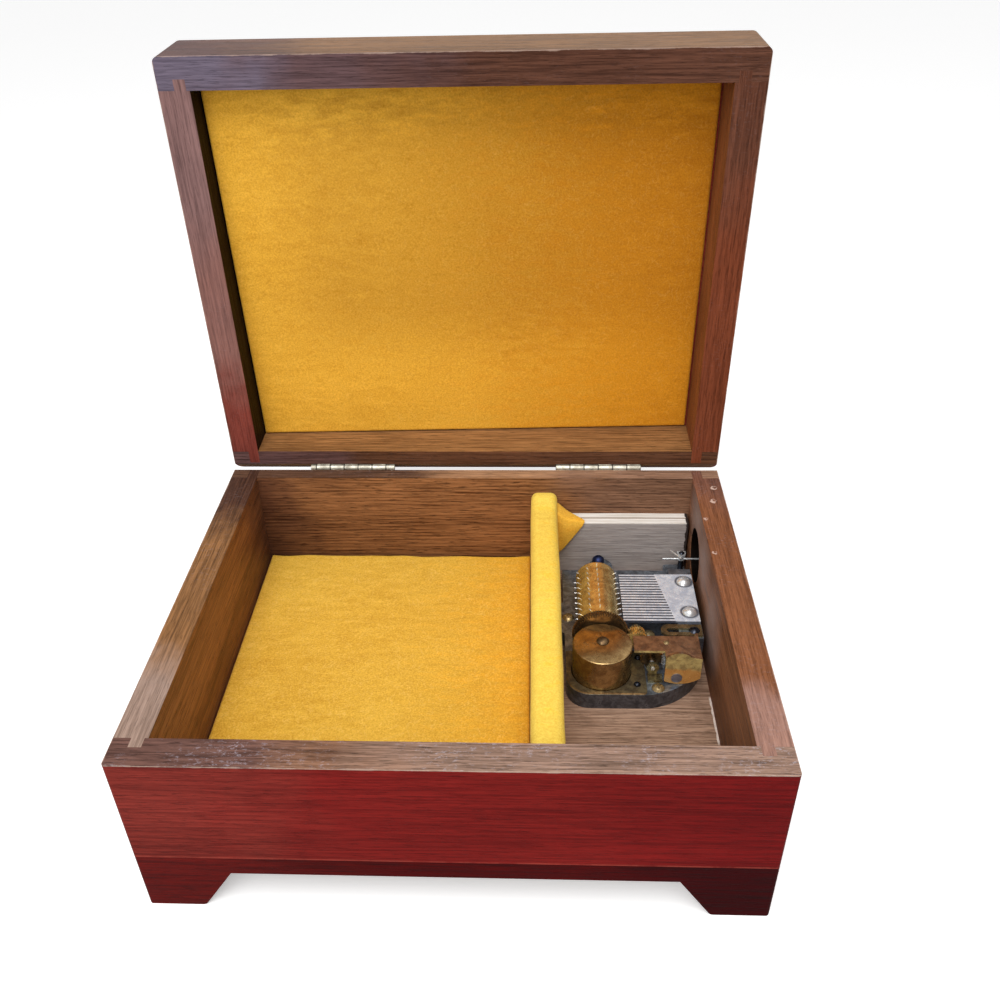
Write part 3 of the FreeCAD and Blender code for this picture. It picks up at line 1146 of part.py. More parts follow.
def worm_shaft():
    """Upright shaft with a single-start thread; the thread stands in a gap of the worm wheel."""
    top = FRAME_TOP - FRAME_SHEET
    shaft = upright(WORM_SHAFT_RADIUS, (0, 0), (BED_THICKNESS + RUNNING_CLEARANCE, top - RUNNING_CLEARANCE))
    pivot = upright(WORM_PIVOT_RADIUS, (0, 0), (BED_THICKNESS - PIVOT_DEPTH, FRAME_TOP))
    tip_radius = WORM_PITCH_RADIUS + WORM_WHEEL_MODULE - RUNNING_CLEARANCE
    root_radius = WORM_SHAFT_RADIUS - RUNNING_CLEARANCE
    half_thickness = (WORM_LEAD / 2 - WORM_THREAD_BACKLASH) / 2
    root_half, tip_half = half_thickness + WORM_WHEEL_MODULE * 0.4, half_thickness - WORM_WHEEL_MODULE * 0.3
    start = GOVERNOR_HEIGHT - WORM_LEAD * (WORM_TURNS / 2 + 0.5)
    helix = Part.makeHelix(WORM_LEAD, WORM_LEAD * (WORM_TURNS + 1), root_radius)
    section = Part.makePolygon([V(root_radius, 0, -root_half), V(tip_radius, 0, -tip_half),
                                V(tip_radius, 0, tip_half), V(root_radius, 0, root_half),
                                V(root_radius, 0, -root_half)])
    thread = Part.Wire(helix).makePipeShell([section], True, True)
    thread.translate(V(0, 0, start))
    worm = joined(shaft, pivot, thread)
    worm.translate(V(WORM_X, WORM_Y, 0))
    return worm


def fly():
    """Two-bladed air brake on the worm shaft."""
    z = (FLY_BOTTOM, FLY_BOTTOM + FLY_HEIGHT)
    half = FLY_BLADE_THICKNESS / 2
    blades = box((WORM_X - FLY_RADIUS, WORM_X + FLY_RADIUS), (WORM_Y - half, WORM_Y + half), z)
    hub = upright(FLY_HUB_RADIUS, (WORM_X, WORM_Y), z)
    return joined(blades, hub).cut(upright(WORM_SHAFT_RADIUS, (WORM_X, WORM_Y), z))


def worm_wheel_bracket():
    """Front bearing of the governor arbor: a round-topped neck on a foot."""
    y = (WORM_BRACKET_FRONT, WORM_BRACKET_FRONT + WORM_BRACKET_THICKNESS)
    neck = box((GOVERNOR_X - WORM_BRACKET_NECK / 2, GOVERNOR_X + WORM_BRACKET_NECK / 2), y,
               (BED_THICKNESS, GOVERNOR_HEIGHT))
    foot = box((WORM_BRACKET_FOOT_LEFT, WORM_BRACKET_FOOT_RIGHT), (WORM_BRACKET_FOOT_FRONT, y[1]),
               (BED_THICKNESS, BED_THICKNESS + WORM_BRACKET_FOOT_THICKNESS))
    bracket = joined(neck, foot, lengthways(WORM_BRACKET_BOSS, GOVERNOR_CENTRE, y))
    return bracket.cut(lengthways(GOVERNOR_ARBOR_RADIUS + FINE_RUNNING_CLEARANCE, GOVERNOR_CENTRE, y))


def frame_front(y):
    """Front face of the governor frame: an arch beside a shoulder, and a rounded lower edge."""
    bottom = BED_THICKNESS
    corners = [V(FRAME_LEFT, y[0], bottom + FRAME_LEFT_CORNER_LIFT), V(FRAME_LEFT, y[0], FRAME_TOP),
               V(FRAME_ARCH_X, y[0], FRAME_ARCH_TOP), V(FRAME_ARCH_RIGHT, y[0], FRAME_SHOULDER),
               V(FRAME_RIGHT, y[0], FRAME_TOP), V(FRAME_RIGHT, y[0], bottom + FRAME_CORNER_LIFT),
               V(FRAME_LOWEST_X, y[0], bottom + FRAME_FRONT_LIFT)]
    edges = [Part.makeLine(corners[0], corners[1]), Part.Arc(corners[1], corners[2], corners[3]).toShape(),
             Part.makeLine(corners[3], corners[4]), Part.makeLine(corners[4], corners[5]),
             Part.Arc(corners[5], corners[6], corners[0]).toShape()]
    return Part.Face(Part.Wire(edges)).extrude(V(0, y[1] - y[0], 0))


def governor_frame():
    """One bent brass sheet: front face, right side and the top plate over the fly."""
    front_y = (FRAME_FRONT, FRAME_FRONT + FRAME_SHEET)
    side_x = (FRAME_RIGHT - FRAME_SHEET, FRAME_RIGHT)
    top_z = (FRAME_TOP - FRAME_SHEET, FRAME_TOP)
    lifted = BED_THICKNESS + FRAME_CORNER_LIFT
    side = prism_along_x([(front_y[0], lifted), (FRAME_SIDE_FOOT - FRAME_CORNER_LIFT, lifted),
                          (FRAME_SIDE_FOOT, BED_THICKNESS), (FRAME_SIDE_REAR, BED_THICKNESS),
                          (FRAME_SIDE_REAR, FRAME_TOP), (front_y[0], FRAME_TOP)], side_x)
    top_left = BARREL_RADIUS + FRAME_TO_BARREL
    left_half = box((top_left, FRAME_LEFT), (FRAME_TOP_PLATE_FRONT, FRAME_TOP_PLATE_REAR), top_z)
    right_half = box((FRAME_LEFT, FRAME_RIGHT), (front_y[0], FRAME_TOP_PLATE_REAR), top_z)
    sheet = joined(frame_front(front_y), side, left_half, right_half)
    bush_hole = upright(PIVOT_BUSH_RADIUS, (WORM_X, WORM_Y), top_z)
    rivet_hole = lengthways(FRAME_RIVET_RADIUS / 2, FRAME_RIVET, front_y)
    return sheet.cut([bush_hole, rivet_hole])


def frame_rivet():
    """Rivet in the frame's front face."""
    head = lengthways(FRAME_RIVET_RADIUS, FRAME_RIVET, (FRAME_FRONT - FRAME_RIVET_HEIGHT, FRAME_FRONT))
    stem = lengthways(FRAME_RIVET_RADIUS / 2, FRAME_RIVET, (FRAME_FRONT, FRAME_FRONT + FRAME_SHEET))
    return joined(head, stem)


def fly_pivot_bush():
    """Bush in the top plate that holds the fly's upper pivot."""
    place = (WORM_X, WORM_Y)
    top = FRAME_TOP + PIVOT_BUSH_HEIGHT
    bush = joined(upright(PIVOT_BUSH_RADIUS, place, (FRAME_TOP - FRAME_SHEET, FRAME_TOP)),
                  domed_head(PIVOT_BUSH_RADIUS, PIVOT_BUSH_HEIGHT, place, FRAME_TOP))
    return bush.cut(upright(WORM_PIVOT_RADIUS + FINE_RUNNING_CLEARANCE, place,
                            (FRAME_TOP - FRAME_SHEET, top - PIVOT_BUSH_HEIGHT / 2)))


def governor_cock():
    """Slotted brass arm on the front of the ledge, with a rounded free end."""
    z = (LEDGE_TOP, LEDGE_TOP + COCK_THICKNESS)
    arm = box((COCK_LEFT, COMB_RIGHT), (COCK_FRONT, COCK_REAR), z)
    free_corners = [edge for edge in arm.Edges if edge.BoundBox.ZLength > COCK_THICKNESS / 2
                    and edge.BoundBox.XMax < COCK_LEFT + 0.001]
    arm = arm.makeFillet(COCK_CORNER, free_corners)
    (slot_left, slot_right), slot_y, slot_half = COCK_SLOT
    slot = [box((slot_left, slot_right), (slot_y - slot_half, slot_y + slot_half), z),
            upright(slot_half, (slot_left, slot_y), z), upright(slot_half, (slot_right, slot_y), z)]
    return arm.cut(slot + [upright(SMALL_SCREW_SHANK + SCREW_CLEARANCE, COCK_SCREW, z)])


def cock_screw():
    """Round screw of the governor cock."""
    seat = LEDGE_TOP + COCK_THICKNESS
    head = domed_head(COCK_SCREW_HEAD, SMALL_SCREW_HEAD_HEIGHT, COCK_SCREW, seat)
    shank = upright(SMALL_SCREW_SHANK, COCK_SCREW, (LEDGE_TOP - SMALL_SCREW_LENGTH, seat))
    return joined(head, shank).cut(slot_recess(COCK_SCREW, seat + SMALL_SCREW_HEAD_HEIGHT,
                                               COCK_SCREW_HEAD, 0.2, 0.35))


# Movement: stop lever


def stop_post():
    """Headed post that the stop lever turns on."""
    top = STOP_HUB_TOP + END_SHAKE
    sleeve = upright(STOP_SLEEVE_RADIUS, STOP_POST, (BED_THICKNESS, STOP_HUB_BOTTOM - END_SHAKE))
    post = upright(STOP_POST_RADIUS, STOP_POST, (BED_THICKNESS / 2, top))
    head = domed_head(STOP_POST_HEAD_RADIUS, STOP_POST_HEAD, STOP_POST, top)
    return joined(sleeve, post, head)


def stop_lever():
    """Hub with a tab, the stop wire that reaches into the wall pocket and the feeler wire."""
    hub = upright(STOP_HUB_RADIUS, STOP_POST, (STOP_HUB_BOTTOM, STOP_HUB_TOP))
    tab_front = STOP_POST[1] + STOP_POST_RADIUS + STOP_TAB_FROM_POST
    tab = box((STOP_POST[0] - STOP_TAB_WIDTH / 2, STOP_POST[0] + STOP_TAB_WIDTH / 2),
              (tab_front, tab_front + STOP_TAB_THICKNESS), (STOP_HUB_BOTTOM, STOP_HUB_TOP))
    stop_wire = rod(STOP_WIRE_RADIUS, V(STOP_WIRE_LEFT, STOP_WIRE_Y, STOP_WIRE_HEIGHT),
                    V(STOP_WIRE_RIGHT, STOP_WIRE_Y, STOP_WIRE_HEIGHT))
    feeler = rod(STOP_WIRE_RADIUS, V(*FEELER_WIRE_REAR, FEELER_WIRE_HEIGHT),
                 V(*FEELER_WIRE_FRONT, FEELER_WIRE_HEIGHT))
    bore = upright(STOP_POST_RADIUS + RUNNING_CLEARANCE, STOP_POST, (STOP_HUB_BOTTOM - 1, STOP_HUB_TOP + 1))
    return joined(hub, tab, stop_wire, feeler).cut(bore)


MOVEMENT_PIECES = (bedplate, mounting_screws, barrel_base_plate, base_plate_screws, spring_barrel,
                   barrel_cover, mainspring, winding_arbor, ratchet_wheel, ratchet_click, click_rivet,
                   winding_key, great_gear, cylinder_arbor, cylinder, cylinder_pins, train_plate,
                   cylinder_rear_bracket, comb, comb_screws, idler_stud, idler_gear, governor_arbor,
                   worm_wheel, worm_shaft, fly, worm_wheel_bracket, governor_frame, frame_rivet,
                   fly_pivot_bush, governor_cock, cock_screw, stop_post, stop_lever)
CASE_PIECES = (bottom_board, floor_pad, divider_core, divider_velvet, rear_support_board,
               hinge_case_leaves, hinge_pins)
LID_PIECES = (lid_top_panel, lid_velvet_panel, hinge_lid_leaves)


def all_pieces():
    """Every piece by its name, in its place."""
    pieces = {}
    for name, board in case_boards().items():
        pieces[name + "_board"] = board
    for name, board in skirt_boards().items():
        pieces["skirt_" + name] = board
    for make in CASE_PIECES:
        pieces[make.__name__] = make()
    for name, board in lid_boards().items():
        pieces["lid_" + name + "_board"] = opened(board)
    for make in LID_PIECES:
        pieces[make.__name__] = opened(make())
    for make in MOVEMENT_PIECES:
        piece = make()
        piece.translate(MOVEMENT_PLACE)
        pieces[make.__name__] = piece
    return pieces


os.makedirs("parts", exist_ok=True)
open_lid_back = opened(lid_top_panel()).BoundBox.YMax
to_origin = V(0, (OUTER_Y - open_lid_back) / 2, 0)
for name, piece in all_pieces().items():
    piece.translate(to_origin)
    piece.exportStep("parts/" + name + ".step")
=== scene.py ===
"""Looks of a wooden jewelry box with a spring driven musical movement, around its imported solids.

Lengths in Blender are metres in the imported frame. Sizes and places held in fields and constants are
millimetres of the case's own frame, and go through at(), mm() or MM. Only the studio's are metres.
"""
import logging
import math
from collections.abc import Callable, Sequence
from dataclasses import dataclass
from enum import Enum
from functools import partial, reduce
from typing import Any

import bmesh
import bpy
from mathutils import Matrix, Vector, noise


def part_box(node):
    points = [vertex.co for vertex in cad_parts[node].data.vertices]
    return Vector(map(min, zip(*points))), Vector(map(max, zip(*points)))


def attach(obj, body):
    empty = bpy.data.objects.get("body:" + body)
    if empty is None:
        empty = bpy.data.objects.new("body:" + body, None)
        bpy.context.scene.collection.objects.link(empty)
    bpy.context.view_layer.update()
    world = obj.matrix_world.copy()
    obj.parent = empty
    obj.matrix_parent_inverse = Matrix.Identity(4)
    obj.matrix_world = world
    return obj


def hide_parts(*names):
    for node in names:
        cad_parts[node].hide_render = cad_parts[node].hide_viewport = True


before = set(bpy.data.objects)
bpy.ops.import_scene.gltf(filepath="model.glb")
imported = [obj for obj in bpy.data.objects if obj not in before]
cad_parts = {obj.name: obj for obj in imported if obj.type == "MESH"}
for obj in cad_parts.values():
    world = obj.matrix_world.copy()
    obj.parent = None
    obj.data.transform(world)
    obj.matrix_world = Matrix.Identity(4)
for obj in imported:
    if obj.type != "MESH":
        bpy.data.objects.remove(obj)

LOG = logging.getLogger("jewelry_box")
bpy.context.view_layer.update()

MM = 0.001
CENTRE_Y = -10.0353
OPEN_ANGLE = math.radians(88.7)
HINGE_Y = 65.9056
HINGE_Z = 56.15
INNER_X = 75.0
OUTER_X = 84.0
OUTER_Y = 68.5
FLOOR_Z = 20.5
CASE_RIM_Z = 56.0
LID_RIM_Z = 56.3
MOVEMENT = (41.7, -3.4, 20.5)

Colour = tuple[float, float, float]
Place = tuple[float, float, float]
Mark = tuple[float, float, float, float]
Pair = tuple[float, float]
Socket = bpy.types.NodeSocket


def mm(*values: float) -> tuple[float, ...]:
    """Millimetres as metres."""
    return tuple(value * MM for value in values)


def at(x: float, y: float, z: float) -> Vector:
    """A point of the case's own frame, in millimetres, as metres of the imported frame."""
    return Vector((x, y + CENTRE_Y, z)) * MM


def lid_opening() -> Matrix:
    """The turn that takes a point of the closed lid to its open place."""
    pivot = at(0, HINGE_Y, HINGE_Z)
    return Matrix.Translation(pivot) @ Matrix.Rotation(-OPEN_ANGLE, 4, "X") @ Matrix.Translation(-pivot)


# Shader trees


class Grain(Enum):
    """The way a board's grain runs, as the turn that lays it along X."""

    ALONG_X = (0.0, 0.0, 0.0)
    ALONG_Y = (0.0, 0.0, -math.pi / 2)


@dataclass
class ShaderTree:
    """Places nodes in one tree and joins them."""

    tree: bpy.types.NodeTree

    def put(self, kind: str, values: dict[Any, Any] | None = None, **settings: Any) -> bpy.types.Node:
        """Add a node.

        Args:
            kind: The node's type, without its first word.
            values: What each input gets, a socket or a plain value.
            settings: The node's own options.

        Returns:
            The new node.
        """
        node = self.tree.nodes.new("ShaderNode" + kind)
        for name, value in settings.items():
            setattr(node, name, value)
        for name, value in (values or {}).items():
            self.feed(node.inputs[name], value)
        return node

    def feed(self, socket: Socket, value: Any) -> None:
        """Join a socket to an input, or set the input's own value.

        Args:
            socket: The input.
            value: A socket, a number, a vector, or a colour without its alpha.
        """
        if isinstance(value, bpy.types.NodeSocket):
            self.tree.links.new(value, socket)
        else:
            socket.default_value = (*value, 1.0) if socket.type == "RGBA" else value

    def fill(self, node: bpy.types.Node, **values: Any) -> None:
        """Give a node its inputs, with _ for each space in a name."""
        for name, value in values.items():
            self.feed(node.inputs[name.replace("_", " ")], value)

    def math(self, operation: str, first: Any, second: Any = 0.0) -> Socket:
        """The result of one sum on two values."""
        return self.put("Math", {0: first, 1: second}, operation=operation).outputs[0]

    def plus(self, *values: Any) -> Socket:
        """Values added up."""
        return reduce(partial(self.math, "ADD"), values)

    def times(self, *values: Any) -> Socket:
        """Values multiplied."""
        return reduce(partial(self.math, "MULTIPLY"), values)

    def minus(self, first: Any, second: Any) -> Socket:
        """A value less another."""
        return self.math("SUBTRACT", first, second)

    def rest(self, mask: Socket) -> Socket:
        """What a mask leaves of 1."""
        return self.minus(1.0, mask)

    def apart(self, first: Any, second: Any) -> Socket:
        """How far apart two values are."""
        return self.math("ABSOLUTE", self.minus(first, second))

    def vector(self, operation: str, first: Any, second: Any) -> Socket:
        """The result of one sum on two vectors."""
        return self.put("VectorMath", {0: first, 1: second}, operation=operation).outputs[0]

    def mix(self, factor: Any, first: Any, second: Any, blend: str = "MIX") -> Socket:
        """Two colours mixed by a factor."""
        node = self.put("Mix", {0: factor, 6: first, 7: second}, data_type="RGBA", blend_type=blend)
        return node.outputs[2]

    def noise(self, place: Socket, scale: float, detail: float = 2.0, roughness: float = 0.5,
              distortion: float = 0.0) -> Socket:
        """Cloudy noise over a place, from 0 to 1."""
        return self.put("TexNoise", {"Vector": place, "Scale": scale, "Detail": detail,
                                     "Roughness": roughness, "Distortion": distortion}).outputs[0]

    def stretched(self, place: Socket, scales: Sequence[float], **options: float) -> Socket:
        """Noise with its own scale along each axis."""
        return self.noise(self.vector("MULTIPLY", place, tuple(scales)), 1.0, **options)

    def step(self, value: Any, low: Any, high: Any) -> Socket:
        """0 below low, 1 above high and smooth between."""
        return self.put("MapRange", {0: value, 1: low, 2: high}, interpolation_type="SMOOTHSTEP").outputs[0]

    def between(self, value: Any, rise: Pair, fall: Pair) -> Socket:
        """1 from the end of a rise to the start of a fall, and smooth along both."""
        return self.times(self.step(value, *rise), self.rest(self.step(value, *fall)))

    def scaled(self, value: Any, low: float, high: float) -> Socket:
        """A value of low to high as 0 to 1."""
        return self.put("MapRange", {0: value, 1: low, 2: high}).outputs[0]

    def span(self, value: Any, low: Any, high: Any) -> Socket:
        """A value of 0 to 1 laid evenly from low to high."""
        return self.put("MapRange", {0: value, 3: low, 4: high}).outputs[0]

    def split(self, place: Socket) -> tuple[Socket, ...]:
        """The X, Y and Z of a place."""
        return tuple(self.put("SeparateXYZ", {0: place}).outputs)

    def turned(self, place: Socket, turn: Sequence[float], move: Sequence[float] = (0, 0, 0)) -> Socket:
        """A place turned, then moved."""
        values = {"Vector": place, "Location": tuple(move), "Rotation": tuple(turn)}
        return self.put("Mapping", values).outputs[0]

    def object_place(self) -> Socket:
        """The place on the piece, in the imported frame."""
        return self.put("TexCoord").outputs["Object"]

    def spot(self, place: Socket, centre: Vector, size: float, soft: float = 0.5) -> Socket:
        """1 within size of a point, fading out over soft times the size, in metres."""
        away = self.put("VectorMath", {0: place, 1: tuple(centre)}, operation="DISTANCE").outputs["Value"]
        return self.rest(self.step(away, size * (1 - soft), size * (1 + soft)))

    def bump(self, height: Any, distance: float, strength: float = 1.0) -> Socket:
        """A normal from a height, whose full step is a distance in metres."""
        return self.put("Bump", {"Strength": strength, "Distance": distance, "Height": height}).outputs[0]


GroupMaker = Callable[[ShaderTree, dict[str, Socket]], dict[str, Socket]]
GROWTH_RATE = 4200.0
GROWTH_DRIFT = 26.0


@dataclass(frozen=True)
class Effect:
    """A node group: an effect that several finishes share."""

    name: str
    inputs: dict[str, str]
    outputs: tuple[str, ...]
    maker: GroupMaker

    def group(self) -> bpy.types.NodeTree:
        """Build the group the first time, and find it after that.

        Returns:
            The group's tree.
        """
        found = bpy.data.node_groups.get(self.name)
        if found:
            return found
        tree = bpy.data.node_groups.new(self.name, "ShaderNodeTree")
        for name, kind in self.inputs.items():
            tree.interface.new_socket(name, in_out="INPUT", socket_type="NodeSocket" + kind)
        for name in self.outputs:
            tree.interface.new_socket(name, in_out="OUTPUT", socket_type="NodeSocketFloat")
        entry, leave = tree.nodes.new("NodeGroupInput"), tree.nodes.new("NodeGroupOutput")
        made = self.maker(ShaderTree(tree), {name: entry.outputs[name] for name in self.inputs})
        for name, socket in made.items():
            tree.links.new(socket, leave.inputs[name])
        return tree

    def use(self, shader: ShaderTree, **values: Any) -> dict[str, Socket]:
        """Place the group in a tree.

        Args:
            shader: The tree.
            values: The group's inputs by name.

        Returns:
            The group's outputs by name.
        """
        node = shader.put("Group", node_tree=self.group())
        shader.fill(node, **values)
        return {name: node.outputs[name] for name in self.outputs}


def make_wood_grain(shader: ShaderTree, given: dict[str, Socket]) -> dict[str, Socket]:
    """Figure, growth lines, fibres and pores of a board that lies along X.

    Args:
        shader: The group's tree.
        given: The place on the board, and a seed that moves it.

    Returns:
        The group's outputs by name.
    """
    place = shader.vector("ADD", given["Place"], given["Seed"])
    figure = shader.stretched(place, (9, 60, 60), detail=3.0, roughness=0.55, distortion=0.25)
    _, y, z = shader.split(place)
    height = shader.times(shader.plus(y, z), GROWTH_RATE)
    drift = shader.times(shader.stretched(place, (9, 34, 34), detail=4.0, roughness=0.5), GROWTH_DRIFT)
    wave = shader.math("SINE", shader.plus(height, drift))
    lines = shader.math("POWER", shader.plus(shader.times(wave, 0.5), 0.5), 3.0)
    strength = shader.step(shader.stretched(place, (22, 260, 260), detail=2.0), 0.36, 0.6)
    fibre = shader.stretched(place, (60, 1700, 1700), detail=4.0, roughness=0.62)
    dashes = shader.stretched(place, (210, 3300, 3300), detail=2.0, roughness=0.6)
    return {"Figure": figure, "Lines": shader.times(lines, strength), "Fibre": shader.step(fibre, 0.3, 0.7),
            "Pores": shader.step(dashes, 0.56, 0.68)}


def make_board_ring(shader: ShaderTree, given: dict[str, Socket]) -> dict[str, Socket]:
    """Which face of a ring of boards a place is on, and how far it is from the rim's outer edge.

    Args:
        shader: The group's tree.
        given: The place on the ring, and the height of its rim.

    Returns:
        The group's outputs by name.
    """
    x, y, z = shader.split(given["Place"])
    out_x = shader.minus(OUTER_X * MM, shader.math("ABSOLUTE", x))
    out_y = shader.minus(OUTER_Y * MM, shader.apart(y, CENTRE_Y * MM))
    outer = shader.math("MAXIMUM", shader.math("MINIMUM", out_x, out_y), 0.0)
    below = shader.apart(z, given["Rim"])
    edge = shader.math("SQRT", shader.plus(shader.times(outer, outer), shader.times(below, below)))
    return {"Rim": shader.rest(shader.step(below, *mm(0.1, 0.3))),
            "Inside": shader.step(outer, *mm(0.7, 0.9)), "Edge": edge, "Depth": below}


def make_velvet_nap(shader: ShaderTree, given: dict[str, Socket]) -> dict[str, Socket]:
    """Clouds, strokes, fibre and fine pale wisps of a worn pile.

    Args:
        shader: The group's tree.
        given: The place on the cloth.

    Returns:
        The group's outputs by name.
    """
    place = given["Place"]
    cloud = shader.noise(place, 13.0, detail=2.0, roughness=0.5, distortion=0.3)
    stroke = shader.stretched(place, (130, 420, 420), detail=4.0, roughness=0.65, distortion=0.4)
    fibre = shader.noise(place, 1900.0, detail=3.0, roughness=0.7)
    folds = shader.noise(place, 150.0, detail=3.0, roughness=0.6, distortion=2.2)
    wisp = shader.rest(shader.step(shader.apart(folds, 0.5), 0.0, 0.025))
    return {"Cloud": cloud, "Stroke": stroke, "Fibre": fibre, "Wisp": wisp}


def make_tarnish(shader: ShaderTree, given: dict[str, Socket]) -> dict[str, Socket]:
    """Mottled stain, grime, fine scratches and specks on old metal.

    Args:
        shader: The group's tree.
        given: The place on the metal.

    Returns:
        The group's outputs by name.
    """
    place = given["Place"]
    mottle = shader.noise(place, 420.0, detail=5.0, roughness=0.65, distortion=0.6)
    grime = shader.step(shader.noise(place, 240.0, detail=4.0, roughness=0.6), 0.52, 0.68)
    brushed = shader.stretched(place, (5200, 900, 5200), detail=2.0, roughness=0.6)
    speck = shader.step(shader.noise(place, 2300.0, detail=2.0), 0.64, 0.72)
    return {"Mottle": mottle, "Grime": grime, "Brushed": brushed, "Speck": speck}


WOOD_GRAIN = Effect("wood grain", {"Place": "Vector", "Seed": "Vector"},
                    ("Figure", "Lines", "Fibre", "Pores"), make_wood_grain)
BOARD_RING = Effect("board ring", {"Place": "Vector", "Rim": "Float"},
                    ("Rim", "Inside", "Edge", "Depth"), make_board_ring)
VELVET_NAP = Effect("velvet nap", {"Place": "Vector"}, ("Cloud", "Stroke", "Fibre", "Wisp"), make_velvet_nap)
TARNISH = Effect("old metal", {"Place": "Vector"}, ("Mottle", "Grime", "Brushed", "Speck"), make_tarnish)


# Finishes


@dataclass(frozen=True)
class Finish:
    """A finish that fills in a material's surface shader."""

    name: str

    def paint(self, shader: ShaderTree, surface: bpy.types.Node) -> None:
        """Fill in the surface shader."""
        raise NotImplementedError

    def material(self) -> bpy.types.Material:
        """Make a material of the finish.

        Returns:
            The new material.
        """
        material = bpy.data.materials.new(self.name)
        material.use_nodes = True
        material.node_tree.nodes.clear()
        shader = ShaderTree(material.node_tree)
        surface = shader.put("BsdfPrincipled")
        shader.put("OutputMaterial", {"Surface": surface.outputs[0]})
        self.paint(shader, surface)
        return material

    def dress(self, *nodes: str) -> None:
        """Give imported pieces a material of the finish.

        Args:
            nodes: The pieces' names.
        """
        material = self.material()
        for name in nodes:
            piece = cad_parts[name]
            if not piece.material_slots:
                piece.data.materials.append(material)
            for slot in piece.material_slots:
                slot.material = material
        LOG.info("%s: %s", self.name, ", ".join(nodes))


@dataclass(frozen=True)
class WoodTone:
    """The colours of one face of a board, from its dark lines to its light ground."""

    dark: Colour
    light: Colour
    lines: float = 0.2
    pores: float = 0.4

    def colour(self, shader: ShaderTree, grain: dict[str, Socket]) -> Socket:
        """Colour the face from the board's grain.

        Args:
            shader: The material's tree.
            grain: The wood grain's outputs.

        Returns:
            The face's colour.
        """
        ground = shader.plus(shader.times(grain["Figure"], 0.6), shader.times(grain["Fibre"], 0.42))
        streaked = shader.minus(ground, shader.times(grain["Lines"], self.lines))
        colour = shader.mix(shader.scaled(streaked, 0.14, 0.82), self.dark, self.light)
        pore = tuple(part * 0.4 for part in self.dark)
        return shader.mix(shader.times(grain["Pores"], self.pores), colour, pore)


@dataclass(frozen=True)
class ToneRun:
    """Tones that follow each other along a board, with the place of each change between two."""

    tones: tuple[WoodTone, ...]
    turns: tuple[Pair, ...] = ()

    def colour(self, shader: ShaderTree, grain: dict[str, Socket], along: Socket) -> Socket:
        """Colour the face at a place along the board.

        Args:
            shader: The material's tree.
            grain: The wood grain's outputs.
            along: The place along the board.

        Returns:
            The face's colour.
        """
        colour = self.tones[0].colour(shader, grain)
        for tone, turn in zip(self.tones[1:], self.turns):
            colour = shader.mix(shader.step(along, *mm(*turn)), colour, tone.colour(shader, grain))
        return colour


# Red stain outside. Its later tones are darker along each board, towards the right and towards the rear on
# the side boards, as painted shade.
STAIN_AND_SHADE = ToneRun((WoodTone((0.085, 0.0065, 0.0050), (0.275, 0.036, 0.026), 0.07, 0.5),
                 WoodTone((0.095, 0.0035, 0.0035), (0.255, 0.016, 0.013), 0.04, 0.4),
                 WoodTone((0.070, 0.0020, 0.0025), (0.210, 0.009, 0.009), 0.03, 0.3)),
                ((-70.0, -15.0), (20.0, 75.0)))
# The skirt's stain is painted darker than the boards above as shade low down, and darker still towards the
# right foot.
SKIRT_STAIN_AND_SHADE = ToneRun((WoodTone((0.040, 0.0020, 0.0020), (0.155, 0.010, 0.008), 0.05, 0.4),
                     WoodTone((0.025, 0.0008, 0.0012), (0.098, 0.003, 0.003), 0.05, 0.3),
                     WoodTone((0.012, 0.0004, 0.0008), (0.048, 0.001, 0.002), 0.05, 0.3)),
                    ((-60.0, -15.0), (15.0, 75.0)))
WALNUT = WoodTone((0.080, 0.029, 0.011), (0.400, 0.182, 0.074), 0.26, 0.75)
WALNUT_DARK = WoodTone((0.035, 0.013, 0.007), (0.190, 0.080, 0.042), 0.2, 0.7)
WALNUT_GREY = WoodTone((0.060, 0.027, 0.017), (0.330, 0.170, 0.098), 0.2, 0.6)
WALNUT_SIDE = WoodTone((0.130, 0.052, 0.016), (0.445, 0.200, 0.070), 0.1, 0.45)
WALNUT_REAR = WoodTone((0.045, 0.018, 0.010), (0.210, 0.095, 0.055), 0.1, 0.4)
# Inside the front and back boards. The dark first tone at the left end is painted shade in the corner.
BACK_IN = ToneRun((WALNUT_DARK, WALNUT, WALNUT_GREY), ((-78.0, -45.0), (20.0, 45.0)))
SIDE_IN = ToneRun((WALNUT_SIDE, WALNUT_REAR), ((12.0, 50.0),))
RIGHT_IN = ToneRun((WoodTone((0.060, 0.024, 0.012), (0.370, 0.168, 0.086), 0.12, 0.5),))
RAW_FLOOR = WoodTone((0.170, 0.095, 0.060), (0.560, 0.360, 0.250), 0.14, 0.5)
# A pale wood's face, painted grey as shade.
SHADED_PLY = WoodTone((0.250, 0.215, 0.200), (0.480, 0.425, 0.400), 0.06, 0.35)
FRONT_RIM = ToneRun((WoodTone((0.035, 0.016, 0.013), (0.205, 0.104, 0.082), 0.1, 0.6),
                     WoodTone((0.075, 0.034, 0.020), (0.350, 0.184, 0.114), 0.1, 0.6),
                     WoodTone((0.110, 0.067, 0.048), (0.440, 0.280, 0.210), 0.1, 0.6)),
                    ((-56.0, -34.0), (-30.0, 0.0)))
# The dark last tone, towards the back, is painted shade under the open lid.
LEFT_RIM = ToneRun((WoodTone((0.190, 0.125, 0.095), (0.430, 0.300, 0.240), 0.06, 0.3),
                    WoodTone((0.120, 0.056, 0.022), (0.395, 0.192, 0.078), 0.1, 0.5),
                    WoodTone((0.025, 0.011, 0.007), (0.115, 0.052, 0.033), 0.1, 0.4)),
                   ((-58.0, -30.0), (12.0, 40.0)))
RIGHT_RIM = ToneRun((WoodTone((0.200, 0.105, 0.080), (0.420, 0.230, 0.175), 0.05, 0.3),
                     WoodTone((0.110, 0.038, 0.015), (0.305, 0.118, 0.053), 0.04, 0.4),
                     WoodTone((0.080, 0.033, 0.023), (0.240, 0.105, 0.070), 0.04, 0.3)),
                    ((-62.0, -44.0), (20.0, 55.0)))
